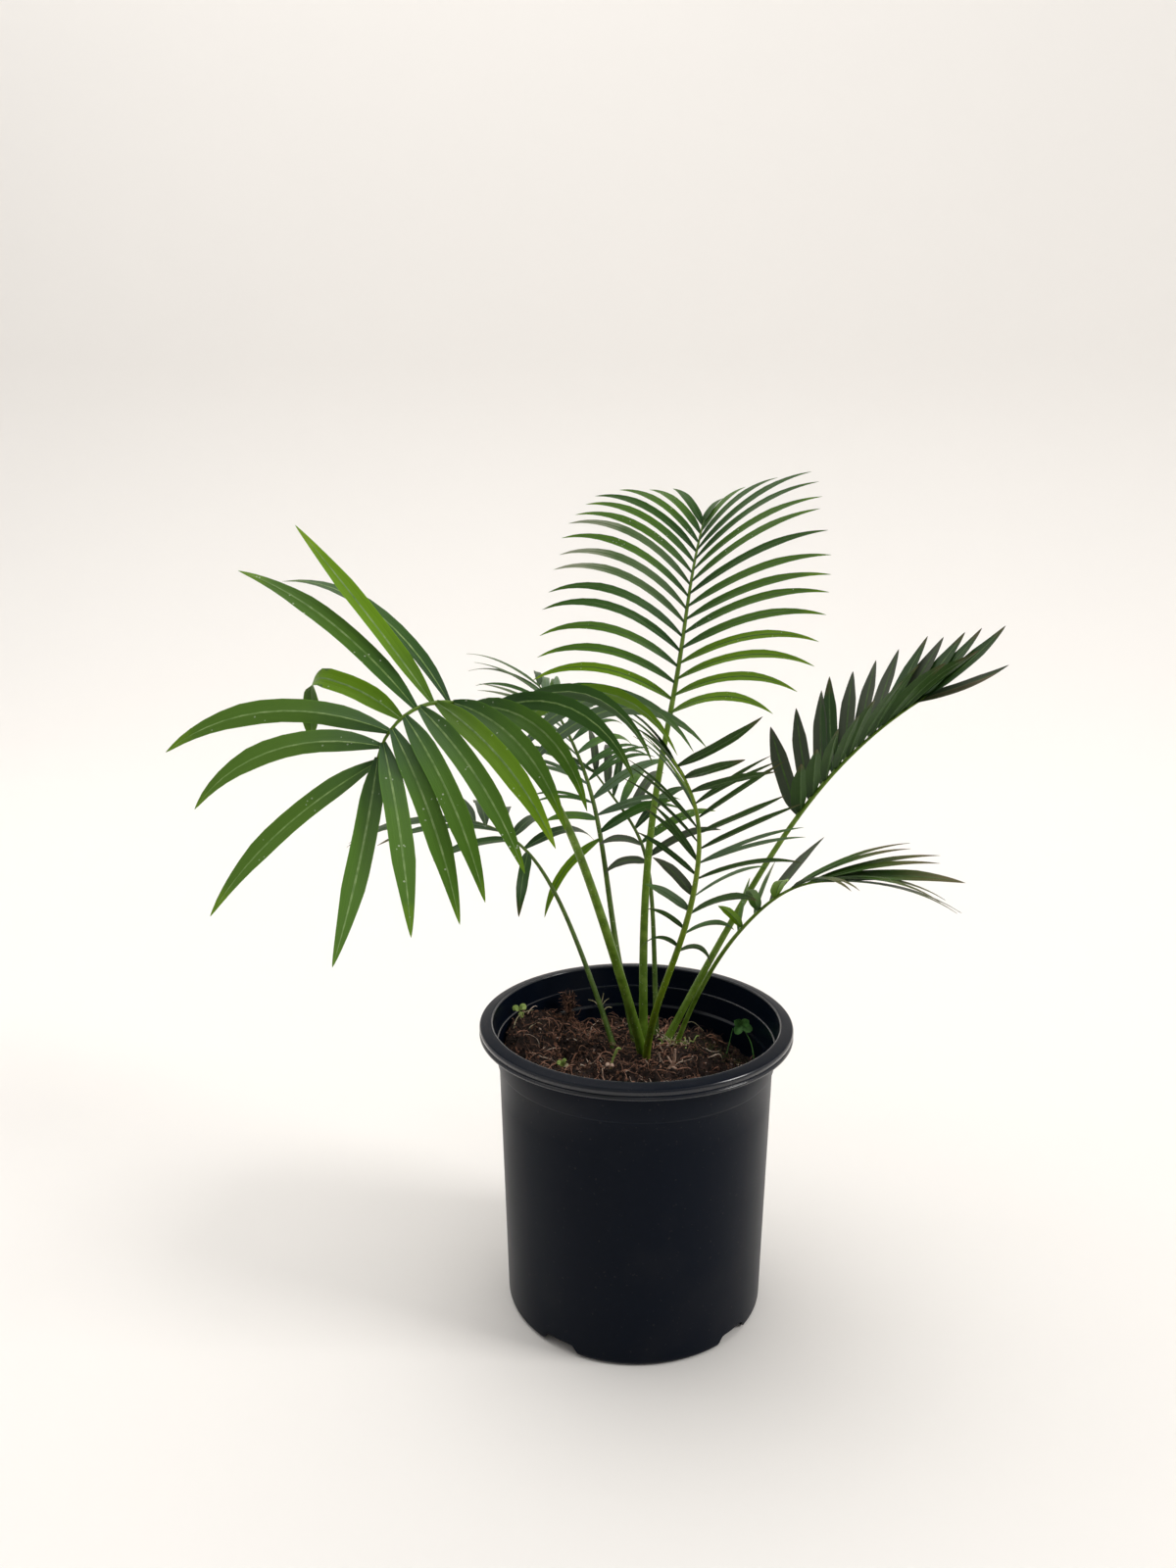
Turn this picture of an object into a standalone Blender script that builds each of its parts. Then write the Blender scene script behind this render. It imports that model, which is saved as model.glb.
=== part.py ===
"""A young cycad in its nursery pot: the pot, the soil in it and eight fronds.

Metres, +Z up. The origin is the middle of the pot's flat underside, and -Y is the front.
Run with: blender --background --python part.py
"""
import math
import random
from dataclasses import dataclass

import bmesh
import bpy
from mathutils import Quaternion, Vector
from mathutils.bvhtree import BVHTree

UP = Vector((0.0, 0.0, 1.0))
GAP = 0.0003                     # left between solids that touch on the real plant

# Pot
POT_HEIGHT = 0.157
RIM_RADIUS = 0.0825              # the widest part of the rolled lip
RIM_INNER = 0.0752               # the lip's inner edge
RIM_DEPTH = 0.0066               # height of the lip's outer face
COLLAR_DEPTH = 0.0223            # from the top to the step under the collar
COLLAR_STEP = 0.0009
COLLAR_RADIUS = 0.0742           # under the lip
BODY_TOP_RADIUS = 0.0722         # under the step
FOOT_RADIUS = 0.0688
FOOT_ROUND = 0.0032
WALL = 0.0016
FLOOR = 0.0022
POT_SEGMENTS = 40

# Drain notches in the foot, in pairs that face each other
NOTCH_HALF_WIDTH = 0.0118
NOTCH_HEIGHT = 0.0058
NOTCH_DEPTH = 0.0130             # inwards from the foot's edge
NOTCH_AZIMUTHS = (-123.0, -41.5, 57.0, 138.5)

# Soil
SOIL_BED = 0.133                 # the level patch that the fronds rise from
SOIL_EDGE = 0.1255               # mean height at the wall
SOIL_TILT = 0.0030               # how much higher the left edge lies than the right
BED_CENTRE = (0.008, 0.016)
BED_RADIUS = 0.027
BED_BLEND = 0.022                # over which the level bed passes into the heaps round it
SOIL_RINGS = (0.10, 0.24, 0.38, 0.52, 0.66, 0.79, 0.90, 1.0)
MOUNDS = (                       # x, y, height and reach of each heap or hollow
    (-0.046, 0.030, 0.0030, 0.020),
    (-0.066, 0.016, 0.0150, 0.018),
    (-0.056, 0.042, 0.0105, 0.016),
    (-0.040, -0.022, 0.0030, 0.017),
    (-0.020, 0.050, -0.0040, 0.014),
    (0.045, 0.006, 0.0034, 0.016),
    (0.036, -0.038, 0.0026, 0.018),
    (0.020, 0.058, -0.0020, 0.016),
)

# Fronds
SPINE_STEPS = 80
TUBE_RINGS = 16
BEND_WEIGHT = 0.035              # metres of rib that one radian of bend counts as, for its rings
TUBE_SIDES = 6
FOOT_SWELL = 1.22                # how much thicker a stalk is at the soil
SWELL_FADE = 30.0                # how fast that swelling fades up the frond
TIP_RADIUS = 0.00055
TAPER = 1.6                      # above 1 the stalk keeps its thickness before it tapers
BEND_STEPS = 12                  # steps in which a leaflet's midrib bends
LEAFLET_STATIONS = (0.0, 0.16, 0.40, 0.63, 0.84)
LEAFLET_THICKNESS = 0.0012
THINNING = 0.35                  # of the leaflet's thickness that is lost by its tip
BLADE_ROOT = 0.26                # width at a leaflet's root, over its full width
BLADE_FULL = 0.26                # share of a leaflet's length at which it is full width
BLADE_POINT = 0.36               # share of its length that tapers to the point
POINT_CURVE = 0.75               # below 1 the point's edges bulge
DROOP_ROOT = 0.35                # how much of its mean bend a leaflet has at its root
DROOP_GAIN = 1.6                 # how soon a leaflet that hangs nearly upright stops bending
STILL = 1e-6                     # a leaflet this close to upright doesn't bend
CURL_FROM = 0.56                 # share of a curled leaflet at which its end starts to fold
CURL_TO = 0.78                   # and at which it hangs straight again
CURL_TURN = 110.0                # degrees through which it bends down there
FLATNESS = math.radians(1.0)     # faces this close to flat are merged after fusing
CROWD = 0.3                      # how much closer leaflets sit at the tip than at the base
SIDE_OFFSET = 0.12               # how far the two leaflets of a pair sit apart, in pairs
SWEEP = 6.0                      # degrees that a leaflet curves towards the frond's tip
CLEARANCE = 0.0005               # that a leaflet keeps from another frond
LEAFLET_TURNS = (0.0, 7.0, -7.0, 14.0, -14.0, 21.0, -21.0)   # degrees tried to find that room

# How uneven the leaflets of a frond with jitter 1 are: the most that each value strays
STRAY_PLACE = 0.006              # along the blade
STRAY_SPREAD = 3.0               # degrees
STRAY_KEEL = 4.0                 # degrees
STRAY_LENGTH = 0.04              # of the length
STRAY_DROOP = 0.2                # of the droop
STRAY_TWIST = 8.0                # degrees about the midrib


def both(*values):
    """The same run of values for the leaflets on the left and on the right."""
    return (values, values)


@dataclass(frozen=True)
class Frond:
    """A pinnate leaf. Runs of values go evenly from the first leaflets to the tip, in degrees."""

    name: str
    foot: tuple                  # x and y where the stalk leaves the soil
    radius: float                # of the stalk
    stalk: float                 # length from the soil to the first leaflets
    blade: float                 # length of the rib that carries leaflets
    lean: tuple                  # off vertical at the foot, first leaflets, mid blade and tip
    heading: tuple               # 0 along +X, 90 along +Y, at the same four places
    roll: tuple                  # of the blade about its rib
    pairs: int
    reach: float                 # length of a leaflet whose share is 1
    width: float                 # of a leaflet
    share: tuple                 # length over reach, left side then right side
    spread: tuple                # angle between a leaflet and the rib
    keel: tuple                  # angle that a leaflet rises from the blade's plane
    droop: tuple                 # that a leaflet bends down over its length
    jitter: float                # how uneven the leaflets are
    seed: int
    twist: tuple = ((0.0, 0.0), (0.0, 0.0))      # that a leaflet is turned about its midrib
    strays: tuple = ()           # (side, number, spread, keel, droop, share) of odd leaflets
    missing: tuple = ()          # (side, number) of leaflets that aren't there
    curled: tuple = ()           # (side, number) of leaflets whose end folds down


FRONDS = (
    Frond("frond_front_left", (0.004, 0.006), 0.0026, 0.203, 0.106,
          lean=(21, 47, 67, 173), heading=(-123, -120, -130, -157), roll=(15, -16, -48),
          pairs=13, reach=0.100, width=0.0088,
          share=((1.0, 1.1, 1.02, 0.84, 0.9, 0.86, 0.92), (0.9, 0.9, 0.9, 0.92, 0.87, 0.86, 0.84)),
          spread=((58, 57, 63, 82, 92, 70, 42), (60, 60, 62, 78, 76, 82, 53)),
          keel=((20, 28, 32, 22, 8, 6, 58), (40, 40, 42, 45, 38, 52, 58)),
          droop=((85, 98, 95, 70, 22, 24, -12), (50, 50, 55, 66, 24, 60, 20)),
          jitter=0.12, seed=3, twist=((-124, -121, -118, -84, -42, 12, 96), (0, 0)),
          strays=((1, 6, 70, 36, 58, 0.91), (1, 7, 77, 30, 0, 0.88), (1, 8, 85, 24, 26, 0.93),
                  (1, 9, 86, 20, 60, 0.62), (1, 11, 83, 56, 60, 0.78),
                  (-1, 12, 45, 54, -5, 0.92)),
          missing=((1, 0), (1, 1), (1, 2), (1, 3), (1, 4), (1, 5)), curled=((1, 9),)),
    Frond("frond_back_tall", (0.0045, 0.0125), 0.0023, 0.180, 0.131,
          lean=(6, 28, 30, 37), heading=(100, 68, 75, 68), roll=(4, 9, 7),
          pairs=16, reach=0.088, width=0.0054,
          share=((0.95, 0.95, 1.0, 0.98, 0.95, 0.8, 0.33), (0.96, 1.03, 1.02, 1.01, 0.98, 0.94, 0.2)),
          spread=((74, 72, 66, 62, 60, 58, 32), (84, 77, 70, 66, 61, 46, 12)),
          keel=((39, 38, 42, 40, 41, 36, 25), (48, 38, 34, 32, 38, 35, 27)),
          droop=((64, 66, 68, 66, 66, 60, 45), (50, 52, 44, 36, 36, 42, 38)),
          jitter=0.25, seed=2),
    Frond("frond_right", (0.0172, 0.024), 0.0022, 0.140, 0.100,
          lean=(27, 36, 46, 60), heading=(14, 14, 8, 8), roll=(-8, -12, -20),
          pairs=12, reach=0.070, width=0.0105,
          share=((0.74, 0.88, 0.96, 0.92, 0.82), (0.46, 0.52, 0.64, 0.70, 0.66)),
          spread=((58, 52, 50, 30, 8), (56, 52, 49, 28, 10)),
          keel=((50, 41, 32, 35, 38), (52, 44, 36, 38, 6)),
          droop=((0, 0, 0, -6, -15), (10, 12, 15, 22, -8)),
          jitter=0.9, seed=5, strays=((1, 10, 34, -38, -14, 0.64), (1, 11, 25, -46, -10, 0.66))),
    Frond("frond_front_right", (0.0058, 0.000), 0.0019, 0.063, 0.143,
          lean=(25, 28, 27, 42), heading=(-82, -60, -83, -136), roll=(10, -10, 0),
          pairs=14, reach=0.072, width=0.0070,
          share=((0.6, 0.66, 0.63, 0.76, 0.62, 0.64, 0.6), (0.4, 0.43, 0.42, 0.5, 0.68, 0.54, 0.5)),
          spread=((105, 100, 82, 66, 72, 62, 58), (48, 50, 38, 45, 50, 40, 50)),
          keel=((22, 30, 28, 15, 26, 27, 40), (15, 13, 18, 18, 28, 38, 42)),
          droop=((65, 66, 45, 32, 0, 20, 25), (70, 66, 20, 30, 35, 25, 35)),
          jitter=1.6, seed=7,
          strays=((-1, 13, 76, 16, -5, 0.70), (-1, 12, 70, 10, 5, 0.60), (-1, 11, 62, 8, 10, 0.70)),
          missing=((-1, 0), (1, 0))),
    Frond("frond_low_right", (0.0225, 0.0185), 0.0015, 0.073, 0.069,
          lean=(17, 35, 49, 84), heading=(-20, -30, -29, -28), roll=(0, -5, 0),
          pairs=6, reach=0.070, width=0.0105,
          share=((0.5, 0.5, 0.5, 0.92, 0.95, 1.0), (0.35, 0.4, 0.45, 0.5, 1.0, 0.94)),
          spread=((62, 60, 62, 15, 14, 8), (62, 60, 50, 38, 8, 5)),
          keel=((45, 40, 35, 20, 20, 20), (45, 40, 30, 25, 8, 20)),
          droop=((25, 20, 5, 25, 20, 15), (25, 30, 35, 55, 45, 33)),
          jitter=0.4, seed=6),
    Frond("frond_back_left", (0.0, 0.020), 0.0018, 0.112, 0.115,
          lean=(33, 27, 41, 55), heading=(116, 112, 125, 132), roll=(-15, 0, -5),
          pairs=13, reach=0.070, width=0.0072,
          share=((0.4, 0.8, 0.75), (0.65, 0.9, 0.5)), spread=((72, 64, 22), (72, 60, 26)),
          keel=((20, 35, 12), (18, 5, -12)), droop=((50, 45, 45), (50, 58, 45)),
          jitter=1.3, seed=9, strays=((-1, 0, 121, 10, 105, 0.80),)),
    Frond("frond_low_left", (-0.012, 0.014), 0.0015, 0.115, 0.055,
          lean=(24, 53, 74, 89), heading=(136, 142, 151, 152), roll=(0, 0, -15),
          pairs=6, reach=0.074, width=0.0072,
          share=((0.5, 0.66, 1.0, 1.1, 1.1, 1.1), (1.05, 0.9, 0.8, 0.8, 0.8, 0.8)),
          spread=((112, 82, 70, 44, 28, 14), (92, 80, 66, 55, 42, 30)),
          keel=((0, 6, 12, 11, 9, 8), (15, 14, 12, 12, 10, 8)),
          droop=((95, 30, 40, 43, 41, 40), (60, 60, 60, 50, 38, 35)),
          jitter=0.5, seed=8, strays=((-1, 0, 125, 10, 80, 0.60),)),
    Frond("frond_back_short", (0.0115, 0.0285), 0.0015, 0.094, 0.069,
          lean=(23, 28, 43, 51), heading=(92, 112, 145, 135), roll=(0, 0, 0),
          pairs=9, reach=0.062, width=0.0072,
          share=((0.5, 0.65, 0.7), (0.8, 1.0, 0.8)), spread=both(75, 60, 25),
          keel=both(22, 22, 15), droop=both(60, 55, 40),
          jitter=1.3, seed=10),
)

# Finishes: base colour and roughness
POT_FINISH = ((0.012, 0.016, 0.022, 1.0), 0.42)
SOIL_FINISH = ((0.050, 0.026, 0.016, 1.0), 0.95)
FROND_FINISH = ((0.085, 0.190, 0.040, 1.0), 0.45)


def clear_scene():
    """Removes every object that the file starts with."""
    for obj in list(bpy.data.objects):
        bpy.data.objects.remove(obj, do_unlink=True)


def finish(name, values):
    """A plain Principled material."""
    colour, roughness = values
    material = bpy.data.materials.new(name)
    material.use_nodes = True
    shader = material.node_tree.nodes["Principled BSDF"]
    shader.inputs["Base Color"].default_value = colour
    shader.inputs["Roughness"].default_value = roughness
    shader.inputs["Metallic"].default_value = 0.0
    return material


def make_object(name, bm, collection=None):
    """Turns a bmesh into a named object."""
    mesh = bpy.data.meshes.new(name)
    bm.to_mesh(mesh)
    bm.free()
    obj = bpy.data.objects.new(name, mesh)
    (collection or bpy.context.scene.collection).objects.link(obj)
    return obj


def lathe(profile, segments):
    """Turns a profile about Z. It runs from the axis outside and up, and back to the axis inside."""
    bm = bmesh.new()
    rings = []
    for radius, height in profile:
        if radius == 0.0:
            rings.append([bm.verts.new((0.0, 0.0, height))])
            continue
        ring = []
        for k in range(segments):
            angle = 2.0 * math.pi * k / segments
            ring.append(bm.verts.new((radius * math.cos(angle), radius * math.sin(angle), height)))
        rings.append(ring)
    for low, high in zip(rings, rings[1:]):
        for k in range(segments):
            n = (k + 1) % segments
            if len(low) == 1:
                bm.faces.new((low[0], high[n], high[k]))
            elif len(high) == 1:
                bm.faces.new((low[k], low[n], high[0]))
            else:
                bm.faces.new((low[k], low[n], high[n], high[k]))
    return bm


def wall_radius(height):
    """Inner radius of the pot's body at a height."""
    low, high = FLOOR + WALL, POT_HEIGHT - COLLAR_DEPTH
    share = (height - low) / (high - low)
    return (FOOT_RADIUS - WALL) + share * (BODY_TOP_RADIUS - FOOT_RADIUS)


def pot_profile():
    """Half section of the pot, from the middle of the underside round to the middle of the floor."""
    step = POT_HEIGHT - COLLAR_DEPTH
    lip = POT_HEIGHT - RIM_DEPTH
    return [
        (0.0, 0.0),
        (FOOT_RADIUS - FOOT_ROUND, 0.0),
        (FOOT_RADIUS - 0.3 * FOOT_ROUND, 0.3 * FOOT_ROUND),
        (FOOT_RADIUS, FOOT_ROUND),
        (BODY_TOP_RADIUS, step - COLLAR_STEP),
        (BODY_TOP_RADIUS + COLLAR_STEP, step),
        (COLLAR_RADIUS, lip - 0.0008),
        (RIM_RADIUS - 0.0012, lip),
        (RIM_RADIUS, lip + 0.0014),
        (RIM_RADIUS - 0.0002, POT_HEIGHT - 0.0016),
        (RIM_RADIUS - 0.0018, POT_HEIGHT),
        (RIM_INNER + 0.0010, POT_HEIGHT),
        (RIM_INNER, POT_HEIGHT - 0.0008),
        (COLLAR_RADIUS - WALL, lip - 0.0044),
        (BODY_TOP_RADIUS - WALL, step - COLLAR_STEP),
        (FOOT_RADIUS - WALL, FLOOR + WALL),
        (FOOT_RADIUS - 2.0 * WALL, FLOOR),
        (0.0, FLOOR),
    ]


def notch_cutter(name, azimuth):
    """A wedge with a rounded top that cuts one drain notch."""
    outline = [(-1.0, -0.4), (-1.0, 0.0), (-0.80, 0.62), (-0.52, 1.0)]
    outline += [(-x, z) for x, z in reversed(outline)]
    radial = Vector((math.cos(math.radians(azimuth)), math.sin(math.radians(azimuth)), 0.0))
    across = UP.cross(radial)
    bm = bmesh.new()
    ends = []
    for distance in (FOOT_RADIUS - NOTCH_DEPTH, FOOT_RADIUS + 0.006):
        ends.append([bm.verts.new(radial * distance + across * (x * NOTCH_HALF_WIDTH)
                                  + UP * (z * NOTCH_HEIGHT)) for x, z in outline])
    count = len(outline)
    for k in range(count):
        n = (k + 1) % count
        bm.faces.new((ends[0][k], ends[0][n], ends[1][n], ends[1][k]))
    bm.faces.new(ends[0])
    bm.faces.new(list(reversed(ends[1])))
    bmesh.ops.recalc_face_normals(bm, faces=bm.faces)
    cutter = make_object(name, bm)
    cutter.hide_render = True
    cutter.display_type = 'WIRE'
    return cutter


def make_pot(material):
    """The pot: a turned cup with a rolled lip and four drain notches."""
    pot = make_object("pot", lathe(pot_profile(), POT_SEGMENTS))
    pot.data.materials.append(material)
    pot.data.shade_smooth()
    pot.data.set_sharp_from_angle(angle=math.radians(35))
    for number, azimuth in enumerate(NOTCH_AZIMUTHS, 1):
        cut = pot.modifiers.new(f"notch_{number}", 'BOOLEAN')
        cut.operation = 'DIFFERENCE'
        cut.solver = 'EXACT'
        cut.object = notch_cutter(f"notch_cutter_{number}", azimuth)
    return pot


def soil_height(x, y):
    """Height of the soil's surface: level under the fronds, heaped and tilted round them."""
    from_bed = math.hypot(x - BED_CENTRE[0], y - BED_CENTRE[1])
    share = min(max((from_bed - BED_RADIUS) / BED_BLEND, 0.0), 1.0)
    blend = share * share * (3.0 - 2.0 * share)
    ground = SOIL_EDGE - SOIL_TILT * x / BODY_TOP_RADIUS
    for mound_x, mound_y, height, reach in MOUNDS:
        ground += height * math.exp(-((x - mound_x) ** 2 + (y - mound_y) ** 2) / reach ** 2)
    return SOIL_BED + (ground - SOIL_BED) * blend


def make_soil(material):
    """The soil fill, a gap inside the pot's wall and floor, with an uneven top."""
    bm = bmesh.new()
    rings = []
    for share in SOIL_RINGS:
        ring = []
        for k in range(POT_SEGMENTS):
            angle = 2.0 * math.pi * k / POT_SEGMENTS
            radius = share * (wall_radius(SOIL_EDGE) - GAP)
            if share == 1.0:
                height = soil_height(radius * math.cos(angle), radius * math.sin(angle))
                radius = wall_radius(height) - GAP
            else:
                height = soil_height(radius * math.cos(angle), radius * math.sin(angle))
            ring.append(bm.verts.new((radius * math.cos(angle), radius * math.sin(angle), height)))
        rings.append(ring)
    for radius, height in ((FOOT_RADIUS - WALL - GAP, FLOOR + WALL + GAP),
                           (FOOT_RADIUS - 2.0 * WALL - GAP, FLOOR + GAP)):
        rings.append([bm.verts.new((radius * math.cos(2.0 * math.pi * k / POT_SEGMENTS),
                                    radius * math.sin(2.0 * math.pi * k / POT_SEGMENTS), height))
                      for k in range(POT_SEGMENTS)])
    top = bm.verts.new((0.0, 0.0, soil_height(0.0, 0.0)))
    bottom = bm.verts.new((0.0, 0.0, FLOOR + GAP))
    for k in range(POT_SEGMENTS):
        n = (k + 1) % POT_SEGMENTS
        bm.faces.new((top, rings[0][k], rings[0][n]))
        bm.faces.new((bottom, rings[-1][n], rings[-1][k]))
        for inner, outer in zip(rings, rings[1:]):
            bm.faces.new((inner[k], outer[k], outer[n], inner[n]))
    bmesh.ops.triangulate(bm, faces=bm.faces)
    soil = make_object("soil", bm)
    soil.data.materials.append(material)
    return soil


def run(values, share):
    """The value at a share of the way along an even run of values."""
    place = share * (len(values) - 1)
    k = min(int(place), len(values) - 2)
    return values[k] + (values[k + 1] - values[k]) * (place - k)


def through(knots, values, place):
    """A smooth curve through values at uneven knots."""
    widths = [high - low for low, high in zip(knots, knots[1:])]
    rises = [(high - low) / width for low, high, width in zip(values, values[1:], widths)]
    slopes = [rises[0]]
    for k in range(1, len(widths)):
        slopes.append((widths[k] * rises[k - 1] + widths[k - 1] * rises[k]) / (widths[k - 1] + widths[k]))
    slopes.append(rises[-1])
    k = 0
    while k < len(knots) - 2 and place > knots[k + 1]:
        k += 1
    width = widths[k]
    u = (place - knots[k]) / width
    return ((2 * u ** 3 - 3 * u ** 2 + 1) * values[k] + (u ** 3 - 2 * u ** 2 + u) * width * slopes[k]
            + (3 * u ** 2 - 2 * u ** 3) * values[k + 1] + (u ** 3 - u ** 2) * width * slopes[k + 1])


def spine(frond):
    """Evenly spaced (point, direction, upper side) along a frond's stalk and rib."""
    total = frond.stalk + frond.blade
    knots = (0.0, frond.stalk / total, (frond.stalk + frond.blade / 2) / total, 1.0)
    point = Vector((frond.foot[0], frond.foot[1], SOIL_BED + GAP))
    stations = []
    before = None
    for step in range(SPINE_STEPS + 1):
        place = step / SPINE_STEPS
        lean = math.radians(through(knots, frond.lean, place))
        heading = math.radians(through(knots, frond.heading, place))
        outwards = Vector((math.cos(heading), math.sin(heading), 0.0))
        along = outwards * math.sin(lean) + UP * math.cos(lean)
        above = UP * math.sin(lean) - outwards * math.cos(lean)
        if before is not None:
            point = point + (before + along) * (0.5 * total / SPINE_STEPS)
        stations.append((point.copy(), along, above))
        before = along
    return stations


def at(stations, share):
    """The point, direction and upper side at a share of a spine."""
    place = min(max(share, 0.0), 1.0) * (len(stations) - 1)
    k = min(int(place), len(stations) - 2)
    point, along, above = (a.lerp(b, place - k) for a, b in zip(stations[k], stations[k + 1]))
    along = along.normalized()
    above = (above - along * above.dot(along)).normalized()
    return point, along, above


def tube_radius(frond, share):
    """Radius of the stalk and rib: swollen at the foot, then thinner and thinner to the tip."""
    swell = 1.0 + (FOOT_SWELL - 1.0) * math.exp(-share * SWELL_FADE)
    return frond.radius * swell + (TIP_RADIUS - frond.radius) * share ** TAPER


def ring_shares(stations):
    """Where the rings of a tube go: closer together where its spine bends."""
    travel = [0.0]
    for (point, along, _), (after, onwards, _) in zip(stations, stations[1:]):
        travel.append(travel[-1] + (after - point).length + BEND_WEIGHT * along.angle(onwards))
    shares = []
    k = 0
    for ring in range(TUBE_RINGS):
        wanted = travel[-1] * ring / (TUBE_RINGS - 1)
        while k < len(travel) - 2 and travel[k + 1] < wanted:
            k += 1
        shares.append((k + (wanted - travel[k]) / (travel[k + 1] - travel[k])) / (len(travel) - 1))
    return shares


def tube(frond, stations):
    """The stalk and rib, cut level at the soil and pointed at the tip."""
    bm = bmesh.new()
    rings = []
    for share in ring_shares(stations):
        point, along, above = at(stations, share)
        aside = along.cross(above)
        radius = tube_radius(frond, share)
        ring = []
        for side in range(TUBE_SIDES):
            angle = 2.0 * math.pi * side / TUBE_SIDES
            corner = point + (aside * math.cos(angle) + above * math.sin(angle)) * radius
            if not rings:
                corner += along * ((point.z - corner.z) / along.z)
            ring.append(bm.verts.new(corner))
        rings.append(ring)
    end, along, _ = at(stations, 1.0)
    tip = bm.verts.new(end + along * (2.0 * TIP_RADIUS))
    bm.faces.new(rings[0])
    for side in range(TUBE_SIDES):
        n = (side + 1) % TUBE_SIDES
        for low, high in zip(rings, rings[1:]):
            bm.faces.new((low[n], low[side], high[side], high[n]))
        bm.faces.new((rings[-1][n], rings[-1][side], tip))
    bmesh.ops.recalc_face_normals(bm, faces=bm.faces)
    bmesh.ops.triangulate(bm, faces=bm.faces)
    return bm


@dataclass
class Leaflet:
    """The midrib of one leaflet and the direction of its width, root first."""

    points: list
    across: list
    width: float


def bend(root, course, across, rib, length, droop, curled):
    """Grows a leaflet's midrib: it droops more and more, and sweeps towards the frond's tip."""
    points, widths = [root], [across]
    fold = math.radians(CURL_TURN) / (BEND_STEPS * (CURL_TO - CURL_FROM))
    for step in range(BEND_STEPS):
        share = (step + 0.5) / BEND_STEPS
        down = -UP + course * course.z
        if down.length > STILL:
            pull = droop / BEND_STEPS * (DROOP_ROOT + 2.0 * (1.0 - DROOP_ROOT) * share)
            pull *= min(1.0, down.length * DROOP_GAIN)
            if curled and CURL_FROM < share < CURL_TO:
                pull += fold
            turn = Quaternion(course.cross(down.normalized()), pull)
            course, across = turn @ course, turn @ across
        face = course.cross(across).normalized()
        turn = Quaternion(face, math.radians(SWEEP) / BEND_STEPS
                          * (1.0 if face.cross(course).dot(rib) > 0 else -1.0))
        course, across = turn @ course, turn @ across
        root = root + course * (length / BEND_STEPS)
        points.append(root)
        widths.append((across - course * across.dot(course)).normalized())
    return points, widths


def leaflet(frond, stations, side, number, draws, turn):
    """One leaflet, by the frond's runs of values. A turn lifts or lowers it to clear a neighbour."""
    place = (number + 0.5 + SIDE_OFFSET * side) / frond.pairs
    place = place * (1.0 + CROWD) - CROWD * place * place
    along_blade = place + STRAY_PLACE * draws[0]
    total = frond.stalk + frond.blade
    root, rib, above = at(stations, (frond.stalk + frond.blade * along_blade) / total)
    above = Quaternion(rib, math.radians(run(frond.roll, place))) @ above
    outwards = rib.cross(above) * side
    hand = 0 if side < 0 else 1
    spread, keel, droop, share = (run(values[hand], place) for values in
                                  (frond.spread, frond.keel, frond.droop, frond.share))
    for stray_side, stray_number, *own in frond.strays:
        if (stray_side, stray_number) == (side, number):
            spread, keel, droop, share = own
    spread = math.radians(spread + STRAY_SPREAD * draws[1])
    keel = math.radians(keel + STRAY_KEEL * draws[2] + turn)
    course = (rib * math.cos(spread)
              + (outwards * math.cos(keel) + above * math.sin(keel)) * math.sin(spread))
    length = frond.reach * share * (1.0 + STRAY_LENGTH * draws[3])
    droop = math.radians(droop * (1.0 + STRAY_DROOP * draws[4]))
    across = (rib - course * rib.dot(course)).normalized()
    twist = math.radians(run(frond.twist[hand], place) + STRAY_TWIST * draws[5])
    across = Quaternion(course, twist * side) @ across
    curled = (side, number) in frond.curled
    points, widths = bend(root, course, across, rib, length, droop, curled)
    return Leaflet(points, widths, frond.width)


def blade_share(share):
    """Width over full width at a share of a leaflet's length: a narrow root and a long point."""
    root = BLADE_ROOT + (1.0 - BLADE_ROOT) * math.sin(min(share / BLADE_FULL, 1.0) * math.pi / 2)
    return root * min((1.0 - share) / BLADE_POINT, 1.0) ** POINT_CURVE


def leaflet_solid(leaf, margin=0.0):
    """A leaflet as a three-sided blade with its ridge on the upper side, fattened by a margin."""
    bm = bmesh.new()
    rings = []
    for share in LEAFLET_STATIONS:
        place = share * BEND_STEPS
        k = min(int(place), BEND_STEPS - 1)
        point = leaf.points[k].lerp(leaf.points[k + 1], place - k)
        course = (leaf.points[k + 1] - leaf.points[k]).normalized()
        across = leaf.across[k].lerp(leaf.across[k + 1], place - k)
        across = (across - course * across.dot(course)).normalized()
        face = course.cross(across)
        if face.dot(rings[-1][1] if rings else UP) < 0.0:
            face = -face
        half = leaf.width / 2 * blade_share(share) + margin
        corners = [point - across * half - face * margin, point + across * half - face * margin,
                   point + face * (LEAFLET_THICKNESS * (1.0 - THINNING * share) + margin)]
        rings.append(([bm.verts.new(corner) for corner in corners], face))
    tip = bm.verts.new(leaf.points[-1])
    bm.faces.new(rings[0][0])
    for k in range(3):
        n = (k + 1) % 3
        for (low, _), (high, _) in zip(rings, rings[1:]):
            bm.faces.new((low[k], low[n], high[n], high[k]))
        bm.faces.new((rings[-1][0][k], rings[-1][0][n], tip))
    bmesh.ops.recalc_face_normals(bm, faces=bm.faces)
    bmesh.ops.triangulate(bm, faces=bm.faces)
    return bm


def tree_of(bm):
    """A search tree of a bmesh's faces."""
    bm.verts.ensure_lookup_table()
    return BVHTree.FromBMesh(bm)


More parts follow.
